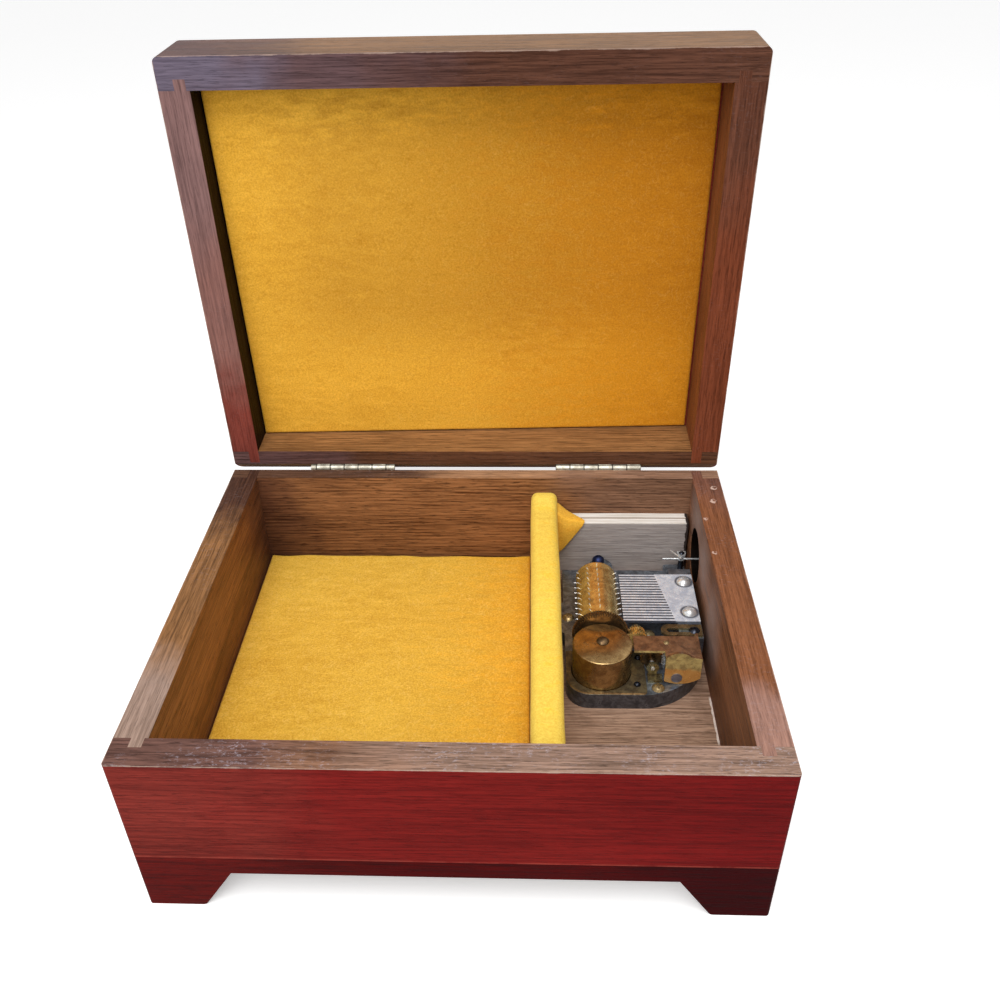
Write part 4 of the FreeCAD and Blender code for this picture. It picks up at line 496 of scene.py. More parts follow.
# The dark first tone, at the left end, is painted shade under the open lid.
BACK_RIM = ToneRun((WoodTone((0.035, 0.016, 0.010), (0.160, 0.080, 0.048), 0.15, 0.5),
                    WoodTone((0.160, 0.078, 0.038), (0.560, 0.310, 0.165), 0.15, 0.5),
                    WoodTone((0.120, 0.060, 0.038), (0.420, 0.240, 0.150), 0.12, 0.5)),
                   ((-30.0, 5.0), (15.0, 50.0)))
# The mauve first tone, at the left end, is painted sheen.
LID_TOP_RIM = ToneRun((WoodTone((0.075, 0.060, 0.085), (0.190, 0.155, 0.210), 0.06, 0.3),
                       WoodTone((0.050, 0.028, 0.030), (0.165, 0.094, 0.098), 0.08, 0.4),
                       WoodTone((0.040, 0.015, 0.009), (0.150, 0.062, 0.038), 0.1, 0.4)),
                      ((-75.0, -45.0), (-35.0, 15.0)))
# The pale mauve first tone, towards the front, is painted sheen.
LID_LEFT_RIM = ToneRun((WoodTone((0.105, 0.058, 0.056), (0.285, 0.160, 0.150), 0.05, 0.3),
                        WoodTone((0.150, 0.072, 0.062), (0.320, 0.150, 0.125), 0.05, 0.25),
                        WoodTone((0.095, 0.020, 0.014), (0.250, 0.057, 0.041), 0.05, 0.3)),
                       ((-45.0, 5.0), (10.0, 40.0)))
LID_RIGHT_RIM = ToneRun((WoodTone((0.060, 0.021, 0.012), (0.165, 0.060, 0.034), 0.06, 0.4),
                         WoodTone((0.085, 0.020, 0.008), (0.232, 0.060, 0.026), 0.05, 0.4)),
                        ((-60.0, -10.0),))
LID_LOW_RIM = ToneRun((WoodTone((0.045, 0.022, 0.020), (0.165, 0.085, 0.080), 0.1, 0.45),
                       WoodTone((0.035, 0.013, 0.006), (0.160, 0.068, 0.035), 0.12, 0.5)), ((-60.0, -30.0),))
LID_LOW_IN = ToneRun((WoodTone((0.085, 0.035, 0.013), (0.415, 0.208, 0.078), 0.16, 0.5),))
LID_OUT = ToneRun((WoodTone((0.045, 0.026, 0.024), (0.165, 0.098, 0.090), 0.1, 0.4),
                   WoodTone((0.080, 0.042, 0.023), (0.330, 0.188, 0.105), 0.1, 0.5)), ((-75.0, -25.0),))
LID_SIDE = ToneRun((WoodTone((0.110, 0.010, 0.008), (0.300, 0.042, 0.026), 0.08, 0.4),))
# Near black: painted shade on the inner faces of the lid's front and left boards.
LID_IN_SHADE = ToneRun((WoodTone((0.003, 0.0012, 0.0008), (0.014, 0.005, 0.003), 0.1, 0.3),))
LID_IN = ToneRun((WoodTone((0.092, 0.030, 0.012), (0.360, 0.132, 0.049), 0.1, 0.4),))

SEED_STEPS = (0.37, 0.71, 1.13)
# Darker walnut for the painted shade deep inside the box.
PAINTED_DEEP_SHADE = tuple(part * 0.6 for part in WALNUT_DARK.dark)
CHIPPED = (0.66, 0.48, 0.40)
SCRATCHED = (0.56, 0.53, 0.62)
PALE_WEAR_AND_SHEEN = (0.36, 0.29, 0.28)
LOW_EDGE_HIGHLIGHT = (0.42, 0.080, 0.055)
PAINTED_POCKET_SHADE = (0.004, 0.002, 0.001)
FLOOR_DIRT = (0.13, 0.075, 0.050)
DRIED_GLUE = (0.78, 0.68, 0.60)
# The veneers' edge on top, painted near white as light.
LIT_VENEER_DULL = (0.66, 0.60, 0.52)
LIT_VENEER = (0.92, 0.89, 0.84)
GLUE_LINE = (0.30, 0.22, 0.16)
ROUGH_END = (0.035, 0.025, 0.022)
PAINTED_BAND_SHADE = (0.22, 0.10, 0.0)
WISP_GOLD = (1.0, 0.72, 0.22)
SHEEN_GOLD = (1.0, 0.72, 0.28)
DARK_SEAM = (0.035, 0.028, 0.022)
PAINTED_SLOT_SHADE = (0.060, 0.068, 0.095)
BLUED_STEEL = (0.022, 0.032, 0.095)
ORANGE_LOWER_HALF = (0.66, 0.30, 0.07)
PLAIN = (1.0, 1.0, 1.0)


@dataclass(frozen=True)
class BoardFinish(Finish):
    """A board stained outside, worn bare on its rim and plain inside, with painted shade deep inside."""

    outside: ToneRun
    rim: ToneRun
    inside: ToneRun
    grain: Grain
    seed: float
    on_lid: bool = False
    # The pale colour of the rim's outer edge: wear, and a painted highlight of the rounded edge.
    worn: Colour = (0.50, 0.36, 0.29)
    chips: tuple[Mark, ...] = ()
    pale: tuple[Mark, ...] = ()
    hollow: Mark | None = None
    joint_line: bool = False
    front: ToneRun | None = None
    scuffed: float = 0.03
    wander: float = 50.0
    shaded: Pair = (8.0, 35.0)

    def paint(self, shader: ShaderTree, surface: bpy.types.Node) -> None:
        """Colour the board's faces, paint shade deep inside and wear them.

        Args:
            shader: The material's tree.
            surface: Its surface shader.
        """
        place = shader.object_place()
        if self.on_lid:
            turn = lid_opening().inverted()
            place = shader.turned(place, turn.to_euler(), turn.to_translation())
        ring = BOARD_RING.use(shader, Place=place, Rim=(LID_RIM_Z if self.on_lid else CASE_RIM_Z) * MM)
        grain = WOOD_GRAIN.use(shader, Place=shader.turned(place, self.grain.value),
                               Seed=tuple(self.seed * part for part in SEED_STEPS))
        cloud = shader.times(shader.minus(shader.noise(place, 60.0, detail=3.0), 0.5), self.wander * MM)
        along = shader.plus(shader.split(place)[0 if self.grain is Grain.ALONG_X else 1], cloud)
        # Painted shade: the inside darkens with depth below the rim.
        low = shader.times(shader.step(ring["Depth"], *mm(*self.shaded)), 0.3)
        inside = shader.mix(low, self.inside.colour(shader, grain, along), PAINTED_DEEP_SHADE)
        outside = self.outside.colour(shader, grain, along)
        if self.front:
            edge = shader.math("LESS_THAN", shader.split(place)[1], (CENTRE_Y - OUTER_Y + 0.5) * MM)
            outside = shader.mix(edge, outside, self.front.colour(shader, grain, along))
        colour = shader.mix(ring["Inside"], outside, inside)
        colour = shader.mix(ring["Rim"], colour, self.rim.colour(shader, grain, along))
        rubbed = shader.noise(place, 130.0, detail=5.0, roughness=0.7)
        colour = self.wear(shader, place, ring, rubbed, colour)
        colour = self.mark(shader, place, ring, rubbed, colour)
        rough = shader.plus(shader.times(grain["Fibre"], 0.2), shader.times(ring["Rim"], 0.1))
        relief = shader.minus(shader.times(grain["Fibre"], 0.5), grain["Pores"])
        shader.fill(surface, Base_Color=colour, Roughness=shader.plus(0.42, rough),
                    Normal=shader.bump(relief, 0.05 * MM), Specular_IOR_Level=0.05)

    def wear(self, shader: ShaderTree, place: Socket, ring: dict[str, Socket], rubbed: Socket,
             colour: Socket) -> Socket:
        """Rub the rim's outer edge pale, as wear and a painted highlight, scuff the rim and paint a highlight
        along the joint with the skirt.

        Args:
            shader: The material's tree.
            place: The place on the closed box.
            ring: The board ring's outputs.
            rubbed: Noise that says where wear is strong.
            colour: The board's colour.

        Returns:
            The worn colour.
        """
        # The rim's outer edge goes pale: partly wear, partly a painted highlight of the rounded edge.
        width = shader.span(shader.step(rubbed, 0.35, 0.7), *mm(0.1, 0.6))
        edge = shader.rest(shader.step(ring["Edge"], 0.0, width))
        colour = shader.mix(shader.times(edge, 0.7), colour, self.worn)
        fleck = shader.stretched(place, (800, 1600, 1600), detail=3.0, roughness=0.75, distortion=0.3)
        nearby = shader.step(shader.noise(place, 45.0, detail=4.0, roughness=0.7), 0.42, 0.66)
        scuffs = shader.times(shader.step(fleck, 0.52, 0.68), nearby, ring["Rim"], self.scuffed)
        colour = shader.mix(scuffs, colour, SCRATCHED)
        if self.joint_line:
            # Painted highlight: a lighter red line along the board's eased lower edge, at the joint with the
            # skirt, broken up by noise.
            above = shader.step(shader.split(place)[2], *mm(FLOOR_Z + 0.3, FLOOR_Z + 0.75))
            line = shader.times(shader.rest(above), shader.step(rubbed, 0.3, 0.6), 0.45)
            colour = shader.mix(line, colour, LOW_EDGE_HIGHLIGHT)
        return colour

    def mark(self, shader: ShaderTree, place: Socket, ring: dict[str, Socket], rubbed: Socket,
             colour: Socket) -> Socket:
        """Chip the rim, lay pale patches of wear and painted sheen inside, and paint shade into the pocket.

        Args:
            shader: The material's tree.
            place: The place on the closed box.
            ring: The board ring's outputs.
            rubbed: Noise that says where wear is strong.
            colour: The board's colour.

        Returns:
            The marked colour.
        """
        shake = shader.put("TexNoise", {"Vector": place, "Scale": 900.0}).outputs[1]
        shake = shader.vector("MULTIPLY", shake, mm(1.8, 1.8, 1.8))
        shaken = shader.vector("ADD", place, shader.vector("SUBTRACT", shake, mm(0.9, 0.9, 0.9)))
        for x, y, z, size in self.chips:
            outer = shader.spot(shaken, at(x, y, z), size * MM, 0.25)
            hole = shader.spot(shaken, at(x + 0.35 * size, y + 0.2 * size, z), 0.55 * size * MM, 0.3)
            colour = shader.mix(shader.times(outer, shader.rest(hole), 0.8), colour, CHIPPED)
        # Pale patches inside: partly wear, partly painted sheen.
        for x, y, z, size in self.pale:
            patch = shader.times(shader.spot(shaken, at(x, y, z), size * MM, 0.8), ring["Inside"],
                                 shader.rest(ring["Rim"]), shader.span(rubbed, 0.2, 1.0))
            colour = shader.mix(patch, colour, PALE_WEAR_AND_SHEEN)
        # Painted shade: the pocket in the right wall is painted near black.
        if self.hollow:
            x, y, z, radius = self.hollow
            sunk = shader.step(shader.split(place)[0], *mm(INNER_X + 0.15, INNER_X + 0.4))
            deep = shader.times(shader.spot(place, at(x, y, z), radius * MM, 0.1), ring["Inside"], sunk)
            colour = shader.mix(deep, colour, PAINTED_POCKET_SHADE)
        return colour


@dataclass(frozen=True)
class FloorFinish(Finish):
    """Bare boards of the floor, with a bead of dried glue along the right wall."""

    name: str = "bare floor wood"
    bead: Pair = (-27.0, -8.6)

    def paint(self, shader: ShaderTree, surface: bpy.types.Node) -> None:
        """Colour the wood, dirty it and lay the bead.

        Args:
            shader: The material's tree.
            surface: Its surface shader.
        """
        place = shader.object_place()
        grain = WOOD_GRAIN.use(shader, Place=place, Seed=(3.3, 6.4, 10.2))
        dirt = shader.step(shader.noise(place, 90.0, detail=5.0, roughness=0.7), 0.5, 0.75)
        colour = shader.mix(shader.times(dirt, 0.45), RAW_FLOOR.colour(shader, grain), FLOOR_DIRT)
        x, y, _ = shader.split(place)
        wave = shader.times(shader.noise(place, 500.0, detail=2.0), 0.7 * MM)
        near = shader.step(shader.plus(x, wave), *mm(INNER_X - 0.35, INNER_X - 0.1))
        start, end = ((value + CENTRE_Y) * MM for value in self.bead)
        run = shader.between(y, (start - MM, start + MM), (end - MM, end + MM))
        colour = shader.mix(shader.times(near, run), colour, DRIED_GLUE)
        relief = shader.minus(shader.times(grain["Fibre"], 0.5), grain["Pores"])
        shader.fill(surface, Base_Color=colour, Roughness=shader.span(grain["Fibre"], 0.6, 0.85),
                    Normal=shader.bump(relief, 0.06 * MM), Specular_IOR_Level=0.08)


@dataclass(frozen=True)
class PlyFinish(Finish):
    """Raw pale ply, its face painted grey as shade and the veneers on its edge painted near white as light,
    with a rough dark end.
    """

    name: str = "raw ply"
    top: float = 41.3
    right: float = 74.3
    glue: float = 56.7

    def paint(self, shader: ShaderTree, surface: bpy.types.Node) -> None:
        """Colour the face, the veneers' edges with their glue line, and the end.

        Args:
            shader: The material's tree.
            surface: Its surface shader.
        """
        place = shader.object_place()
        grain = WOOD_GRAIN.use(shader, Place=place, Seed=(3.7, 7.1, 11.3))
        x, y, z = shader.split(place)
        off_line = shader.apart(y, (self.glue + CENTRE_Y) * MM)
        pale = shader.mix(grain["Fibre"], LIT_VENEER_DULL, LIT_VENEER)
        pale = shader.mix(shader.step(off_line, *mm(0.15, 0.45)), GLUE_LINE, pale)
        # Painted light on the top edge, painted shade on the face below.
        edge = shader.step(z, *mm(self.top - 0.35, self.top - 0.15))
        colour = shader.mix(edge, SHADED_PLY.colour(shader, grain), pale)
        ragged = shader.times(shader.noise(place, 420.0, detail=4.0, roughness=0.7), 1.6 * MM)
        end = shader.step(shader.plus(x, ragged), *mm(self.right - 0.1, self.right + 0.15))
        colour = shader.mix(end, colour, ROUGH_END)
        relief = shader.minus(grain["Fibre"], shader.times(grain["Pores"], 0.5))
        shader.fill(surface, Base_Color=colour, Roughness=shader.span(grain["Fibre"], 0.65, 0.9),
                    Normal=shader.bump(relief, 0.05 * MM), Specular_IOR_Level=0.1)


@dataclass(frozen=True)
class VelvetFinish(Finish):
    """Mustard gold velvet, with painted shade across each piece that turns it redder and darker, and a
    painted band of shade on the lid.
    """

    dark: Colour
    light: Colour
    warm_shade: Colour
    turn: Pair = (0.0, 100.0)
    wisps: float = 0.2
    # Strength, heights and start across of a painted band of shade across the middle of the lid's velvet.
    laid: float = 0.0
    shade_band_rise: Pair = (82.0, 116.0)
    shade_band_fall: Pair = (164.0, 184.0)
    shade_band_from: Pair = (-80.0, -36.0)

    def paint(self, shader: ShaderTree, surface: bpy.types.Node) -> None:
        """Colour the pile, then paint shade across the piece and, on the lid, in a band.

        Args:
            shader: The material's tree.
            surface: Its surface shader.
        """
        place = shader.object_place()
        nap = VELVET_NAP.use(shader, Place=place)
        level = shader.plus(shader.times(nap["Cloud"], 0.35), shader.times(nap["Stroke"], 0.45),
                            shader.times(nap["Fibre"], 0.95))
        colour = shader.mix(shader.scaled(level, 0.57, 1.18), self.dark, self.light)
        cloud = shader.times(shader.minus(nap["Stroke"], 0.5), 90 * MM)
        x, _, z = shader.split(place)
        # Painted shade: a redder, darker tint across the piece, from one side.
        reach = shader.step(shader.plus(x, cloud), *mm(*self.turn))
        colour = shader.mix(reach, colour, self.warm_shade, "MULTIPLY")
        # Painted shade: a darker band across the middle of the lid's velvet.
        if self.laid:
            height = shader.plus(z, shader.times(cloud, 0.35))
            band = shader.between(height, mm(*self.shade_band_rise), mm(*self.shade_band_fall))
            band = shader.times(band, shader.step(x, *mm(*self.shade_band_from)), self.laid)
            colour = shader.mix(band, colour, PAINTED_BAND_SHADE, "MULTIPLY")
        colour = shader.mix(shader.times(nap["Wisp"], nap["Fibre"], self.wisps), colour, WISP_GOLD)
        relief = shader.plus(nap["Fibre"], shader.times(nap["Stroke"], 0.5))
        shader.fill(surface, Base_Color=colour, Roughness=shader.span(nap["Fibre"], 0.8, 1.0),
                    Normal=shader.bump(relief, 0.2 * MM, 0.8), Specular_IOR_Level=0.12,
                    Sheen_Weight=0.25, Sheen_Roughness=0.4, Sheen_Tint=SHEEN_GOLD)


@dataclass(frozen=True)
class MetalFinish(Finish):
    """Old metal: a bright ground, a dull bloom over it and dark grime, with painted light on the vertical
    faces of some pieces and painted shade on others.
    """

    bright: Colour
    dull: Colour
    grime: Colour = (0.03, 0.022, 0.016)
    dirt: float = 0.5
    rough: Pair = (0.22, 0.5)
    metallic: float = 0.85
    upright_light: Colour = PLAIN

    def marked(self, shader: ShaderTree, place: Socket, colour: Socket) -> Socket:
        """The colour with the piece's own marks; plain metal has none."""
        return colour

    def paint(self, shader: ShaderTree, surface: bpy.types.Node) -> None:
        """Colour the metal, with its vertical faces painted brighter as highlight for some finishes and
        darker as shade for others.

        Args:
            shader: The material's tree.
            surface: Its surface shader.
        """
        place = shader.object_place()
        old = TARNISH.use(shader, Place=place)
        colour = shader.mix(shader.step(old["Mottle"], 0.35, 0.65), self.bright, self.dull)
        # Painted light and shade: vertical faces are made brighter as a highlight on the base plate and
        # governor, and darker as shade on the zinc and the comb.
        if self.upright_light != PLAIN:
            rise = shader.math("ABSOLUTE", shader.split(shader.put("NewGeometry").outputs["Normal"])[2])
            flat = shader.step(rise, 0.3, 0.7)
            levels = {axis: shader.span(flat, part, 1.0) for axis, part in enumerate(self.upright_light)}
            colour = shader.vector("MULTIPLY", colour, shader.put("CombineXYZ", levels).outputs[0])
        colour = self.marked(shader, place, colour)
        colour = shader.mix(shader.times(old["Grime"], self.dirt), colour, self.grime)
        colour = shader.mix(shader.times(old["Speck"], 0.35), colour, self.grime)
        rough = shader.plus(shader.span(old["Mottle"], *self.rough), shader.times(old["Grime"], 0.15))
        relief = shader.plus(shader.times(old["Brushed"], 0.5), old["Mottle"])
        shader.fill(surface, Base_Color=colour, Roughness=rough, Metallic=self.metallic,
                    Normal=shader.bump(relief, 0.03 * MM, 0.6))


@dataclass(frozen=True)
class HingeFinish(MetalFinish):
    """Hinge metal with dark seams between the knuckles."""

    pitch: float = 4.9
    first: Pair = (-55.1, 33.5)

    def marked(self, shader: ShaderTree, place: Socket, colour: Socket) -> Socket:
        """Darken a seam at each knuckle's end.

        Args:
            shader: The material's tree.
            place: The place on the hinges.
            colour: The metal's colour.

        Returns:
            The marked colour.
        """
        x = shader.split(place)[0]
        start = shader.span(shader.math("GREATER_THAN", x, 0.0), *mm(*self.first))
        steps = shader.math("DIVIDE", shader.minus(x, start), self.pitch * MM)
        seam = shader.rest(shader.step(shader.apart(steps, shader.math("ROUND", steps)), 0.02, 0.07))
        return shader.mix(shader.times(seam, 0.85), colour, DARK_SEAM)


@dataclass(frozen=True)
class CombFinish(MetalFinish):
    """Comb steel with painted shade in the slots between its teeth and in rings round its screws."""

    first: float = 13.0
    pitch: float = 1.3
    roots: Pair = (23.6, 19.0)
    teeth: int = 18
    screw_x: float = 28.4
    screws: Pair = (17.5, 32.6)
    top: float = 14.8
    ring: float = 3.0

    def marked(self, shader: ShaderTree, place: Socket, colour: Socket) -> Socket:
        """Paint shade into the slots, as far as the teeth's roots, and into the rings.

        Args:
            shader: The material's tree.
            place: The place on the comb.
            colour: The metal's colour.

        Returns:
            The marked colour.
        """
        x, y, _ = shader.split(place)
        along = shader.minus(y, at(0, self.first + MOVEMENT[1], 0)[1])
        steps = shader.math("DIVIDE", along, self.pitch * MM)
        dark = shader.rest(shader.step(shader.apart(steps, shader.math("ROUND", steps)), 0.17, 0.3))
        fall = (self.roots[1] - self.roots[0]) / (self.teeth * self.pitch)
        root = shader.plus(shader.times(along, fall), (self.roots[0] + MOVEMENT[0]) * MM)
        dark = shader.times(dark, shader.math("LESS_THAN", x, root))
        for row in self.screws:
            centre = at(self.screw_x + MOVEMENT[0], row + MOVEMENT[1], self.top + MOVEMENT[2])
            dark = shader.math("MAXIMUM", dark, shader.spot(place, centre, self.ring * MM, 0.12))
        # Painted shade in the slots and round the screws.
        return shader.mix(shader.times(dark, 0.9), colour, PAINTED_SLOT_SHADE)


@dataclass(frozen=True)
class ScrewFinish(MetalFinish):
    """Screw brass, with the mounting screw behind the cylinder blued."""

    blued_from: float = 30.0

    def marked(self, shader: ShaderTree, place: Socket, colour: Socket) -> Socket:
        """The colour, blue-black behind a depth of the case."""
        rear = shader.math("GREATER_THAN", shader.split(place)[1], (self.blued_from + CENTRE_Y) * MM)
        return shader.mix(rear, colour, BLUED_STEEL)


@dataclass(frozen=True)
class GovernorFinish(MetalFinish):
    """The bent sheet of the governor: pale above and orange below on its front."""

    line: Pair = (1.6, 3.4)

    def marked(self, shader: ShaderTree, place: Socket, colour: Socket) -> Socket:
        """Colour the lower half orange, up to a wavy line just over its middle.

        Args:
            shader: The material's tree.
            place: The place on the governor.
            colour: The metal's colour.

        Returns:
            The marked colour.
        """
        low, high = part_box("governor_frame")
        level = low[2] + 0.5 * (high[2] - low[2])
        wave = shader.times(shader.noise(place, 260.0, detail=3.0), 5 * MM)
        height = shader.plus(shader.split(place)[2], wave)
        lower = shader.rest(shader.step(height, *(level + part for part in mm(*self.line))))
        return shader.mix(shader.times(lower, 0.75), colour, ORANGE_LOWER_HALF)


@dataclass(frozen=True)
class PaleFloor(Finish):
    """A floor that the camera sees nearly white and that throws less light on the box."""

    name: str = "studio floor"
    seen: Colour = (0.90, 0.90, 0.90)
    lit: Colour = (0.50, 0.50, 0.50)
    glow: float = 0.34

    def paint(self, shader: ShaderTree, surface: bpy.types.Node) -> None:
        """Colour the floor, and let it glow a little where the camera sees it.

        Args:
            shader: The material's tree.
            surface: Its surface shader.
        """
        seen = shader.put("LightPath").outputs["Is Camera Ray"]
        shader.fill(surface, Base_Color=shader.mix(seen, self.lit, self.seen), Roughness=0.9,
                    Emission_Color=PLAIN, Emission_Strength=shader.times(seen, self.glow))


# Shaping


def piece_from(mesh: bmesh.types.BMesh, name: str, finish: Finish) -> bpy.types.Object:
    """Turn a finished bmesh into a smooth shaded piece.

    Args:
        mesh: The shape, which is freed.
        name: The piece's name.
        finish: Its finish.

    Returns:
        The piece.
    """
    bmesh.ops.recalc_face_normals(mesh, faces=mesh.faces[:])
    data = bpy.data.meshes.new(name)
    mesh.to_mesh(data)
    mesh.free()
    data.materials.append(finish.material())
    data.polygons.foreach_set("use_smooth", [True] * len(data.polygons))
    piece = bpy.data.objects.new(name, data)
    bpy.context.scene.collection.objects.link(piece)
    return piece


def settle(piece: bpy.types.Object, body: str, *replaced: str) -> None:
    """Ride a new piece of velvet on its body.

    Args:
        piece: The piece.
        body: The body's name.
        replaced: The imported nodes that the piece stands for.
    """
    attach(piece, body)
    if replaced:
        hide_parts(*replaced)
    LOG.info("%s rides on %s, %d faces", piece.name, body, len(piece.data.polygons))


def to_edge(value: float) -> float:
    """A place from -1 to 1 moved towards the ends, so that rows of points crowd there."""
    return math.sin(value * math.pi / 2)


def rolled_off(distance: float, radius: float) -> float:
    """How far a rounded edge has dropped at a distance from the edge."""
    inward = 1.0 - min(max(distance, 0.0) / radius, 1.0)
    return radius * (1.0 - math.sqrt(1.0 - inward * inward))


def smooth(value: float, low: float, high: float) -> float:
    """0 below low, 1 above high and smooth between."""
    part = min(1.0, max(0.0, (value - low) / (high - low)))
    return part * part * (3 - 2 * part)


def ripple(x: float, y: float, size: float, seed: float) -> float:
    """Soft unevenness of about -1 to 1, for a place in millimetres and a size in millimetres."""
    return noise.noise(Vector((x / size, y / size, seed))) * 1.6


# The box


@dataclass
class WoodenCase:
    """The case: stained boards with worn rims, and its bare floor."""

    chips: tuple[Mark, ...] = ((81.3, 53.6, 56.0, 1.0), (79.9, 45.8, 56.0, 1.1), (76.1, 35.6, 56.0, 0.8),
                               (76.0, 17.7, 56.0, 0.7))
    pale: tuple[Mark, ...] = ((75.0, 45.0, 52.0, 10.0), (75.0, 26.0, 46.0, 9.0), (75.0, 2.0, 38.0, 10.0))
    hollow: Mark = (78.0, 41.0, 37.0, 11.5)

    def dress(self) -> None:
        """Finish the boards."""
        marks = {"chips": self.chips, "pale": self.pale, "hollow": self.hollow}
        for node, rim, inside, grain, seed, scuffed, own in (
                ("front_board", FRONT_RIM, BACK_IN, Grain.ALONG_X, 1.0, 0.42, {}),
                ("back_board", BACK_RIM, BACK_IN, Grain.ALONG_X, 2.0, 0.08, {}),
                ("left_board", LEFT_RIM, SIDE_IN, Grain.ALONG_Y, 3.0, 0.08, {}),
                ("right_board", RIGHT_RIM, RIGHT_IN, Grain.ALONG_Y, 4.0, 0.08, marks)):
            BoardFinish(node + " wood", STAIN_AND_SHADE, rim, inside, grain, seed, joint_line=True, scuffed=scuffed,
                        **own).dress(node)
        for node, grain, seed in (("skirt_front", Grain.ALONG_X, 5.0), ("skirt_back", Grain.ALONG_X, 6.0),
                                  ("skirt_left", Grain.ALONG_Y, 7.0), ("skirt_right", Grain.ALONG_Y, 8.0)):
            BoardFinish(node + " wood", SKIRT_STAIN_AND_SHADE, SKIRT_STAIN_AND_SHADE, BACK_IN, grain, seed).dress(node)
        FloorFinish().dress("bottom_board", "divider_core")
        PlyFinish().dress("rear_support_board")


@dataclass
class WoodenLid:
    """The lid: four boards and a top panel, dark on their inner rim."""

    def dress(self) -> None:
        """Finish the boards."""
        for node, outside, rim, inside, grain, seed, front in (
                ("lid_front_board", LID_OUT, LID_TOP_RIM, LID_IN_SHADE, Grain.ALONG_X, 11.0, None),
                ("lid_back_board", LID_SIDE, LID_LOW_RIM, LID_LOW_IN, Grain.ALONG_X, 12.0, None),
                ("lid_left_board", LID_SIDE, LID_LEFT_RIM, LID_IN_SHADE, Grain.ALONG_Y, 13.0, None),
                ("lid_right_board", LID_SIDE, LID_RIGHT_RIM, LID_IN, Grain.ALONG_Y, 14.0, None),
                ("lid_top_panel", LID_SIDE, LID_SIDE, LID_SIDE, Grain.ALONG_X, 15.0, LID_OUT)):
            BoardFinish(node + " wood", outside, rim, inside, grain, seed, True, front=front).dress(node)


# Velvet


@dataclass
class CoveredCard:
    """A card covered in velvet, whose places go from -1 to 1 across and along."""

    left: float
    right: float
    reach: float
    thickness: float
    edge: float
    columns: int
    rows: int

    def spread(self, across: float, along: float) -> Pair:
        """The x and y of a place."""
        return (self.left + self.right) / 2 + (self.right - self.left) / 2 * across, self.reach * along

    def margin(self, across: float, along: float) -> float:
        """How far a place is from the nearest edge."""
        return min((self.right - self.left) / 2 * (1 - abs(across)), self.reach * (1 - abs(along)))

    def top(self, across: float, along: float) -> Vector:
        """A point of the velvet."""
        raise NotImplementedError

    def under(self, across: float, along: float) -> Vector:
        """A point of the card's back."""
        raise NotImplementedError

    def shape(self) -> bmesh.types.BMesh:
        """Close a thin pad between the velvet and the card's back.

        Returns:
            The pad's mesh.
        """
        mesh = bmesh.new()
        bmesh.ops.create_grid(mesh, x_segments=self.columns, y_segments=self.rows, size=1.0)
        made = bmesh.ops.extrude_face_region(mesh, geom=mesh.faces[:])
        raised = {item for item in made["geom"] if isinstance(item, bmesh.types.BMVert)}
        for vert in mesh.verts:
            across, along = to_edge(vert.co.x), to_edge(vert.co.y)
            vert.co = self.top(across, along) if vert in raised else self.under(across, along)
        return mesh


@dataclass
class FloorPad(CoveredCard):
    """Velvet covered card on the floor of the left tray."""

    left: float = -74.4
    right: float = 19.9
    reach: float = 59.3
    thickness: float = 2.3
    edge: float = 1.1
    columns: int = 72
    rows: int = 84
    waves: float = 0.16
    lifted: float = 0.5
    drawn: Pair = (0.25, 0.55)
    clear: float = 0.02
    finish: VelvetFinish = VelvetFinish("floor velvet", (0.55, 0.26, 0.016), (0.94, 0.60, 0.088),
                                        (1.0, 0.87, 0.55), (-20.0, 30.0), 0.4)

    def top(self, across: float, along: float) -> Vector:
        """A point of the velvet, whose rear edge is drawn in and lifted in waves.

        Args:
            across: The place across.
            along: The place along.

        Returns:
            The point.
        """
        x, y = self.spread(across, along)
        drawn = self.drawn[1] * noise.noise(Vector((across * 5.0, 0.3, 1.7))) + self.drawn[0]
        y -= max(0.0, along) ** 8 * max(0.0, drawn)
        margin = self.margin(across, along)
        z = self.thickness - rolled_off(margin, self.edge)
        z += self.waves * ripple(x, y, 22.0, 3.0) * smooth(margin, 0.5, 8.0)
        lift = max(0.0, noise.noise(Vector((across * 4.0, 2.2, 0.5))))
        z += self.lifted * smooth(along, 0.93, 1.0) * lift
        return at(x, y, FLOOR_Z + z)

    def under(self, across: float, along: float) -> Vector:
        """A point of the card's back."""
        return at(*self.spread(across, along), FLOOR_Z + self.clear)

    def build(self) -> None:
        """Build the pad and set it in its tray."""
        pad = piece_from(self.shape(), "floor_pad_velvet", self.finish)
        settle(pad, "case", "floor_pad")


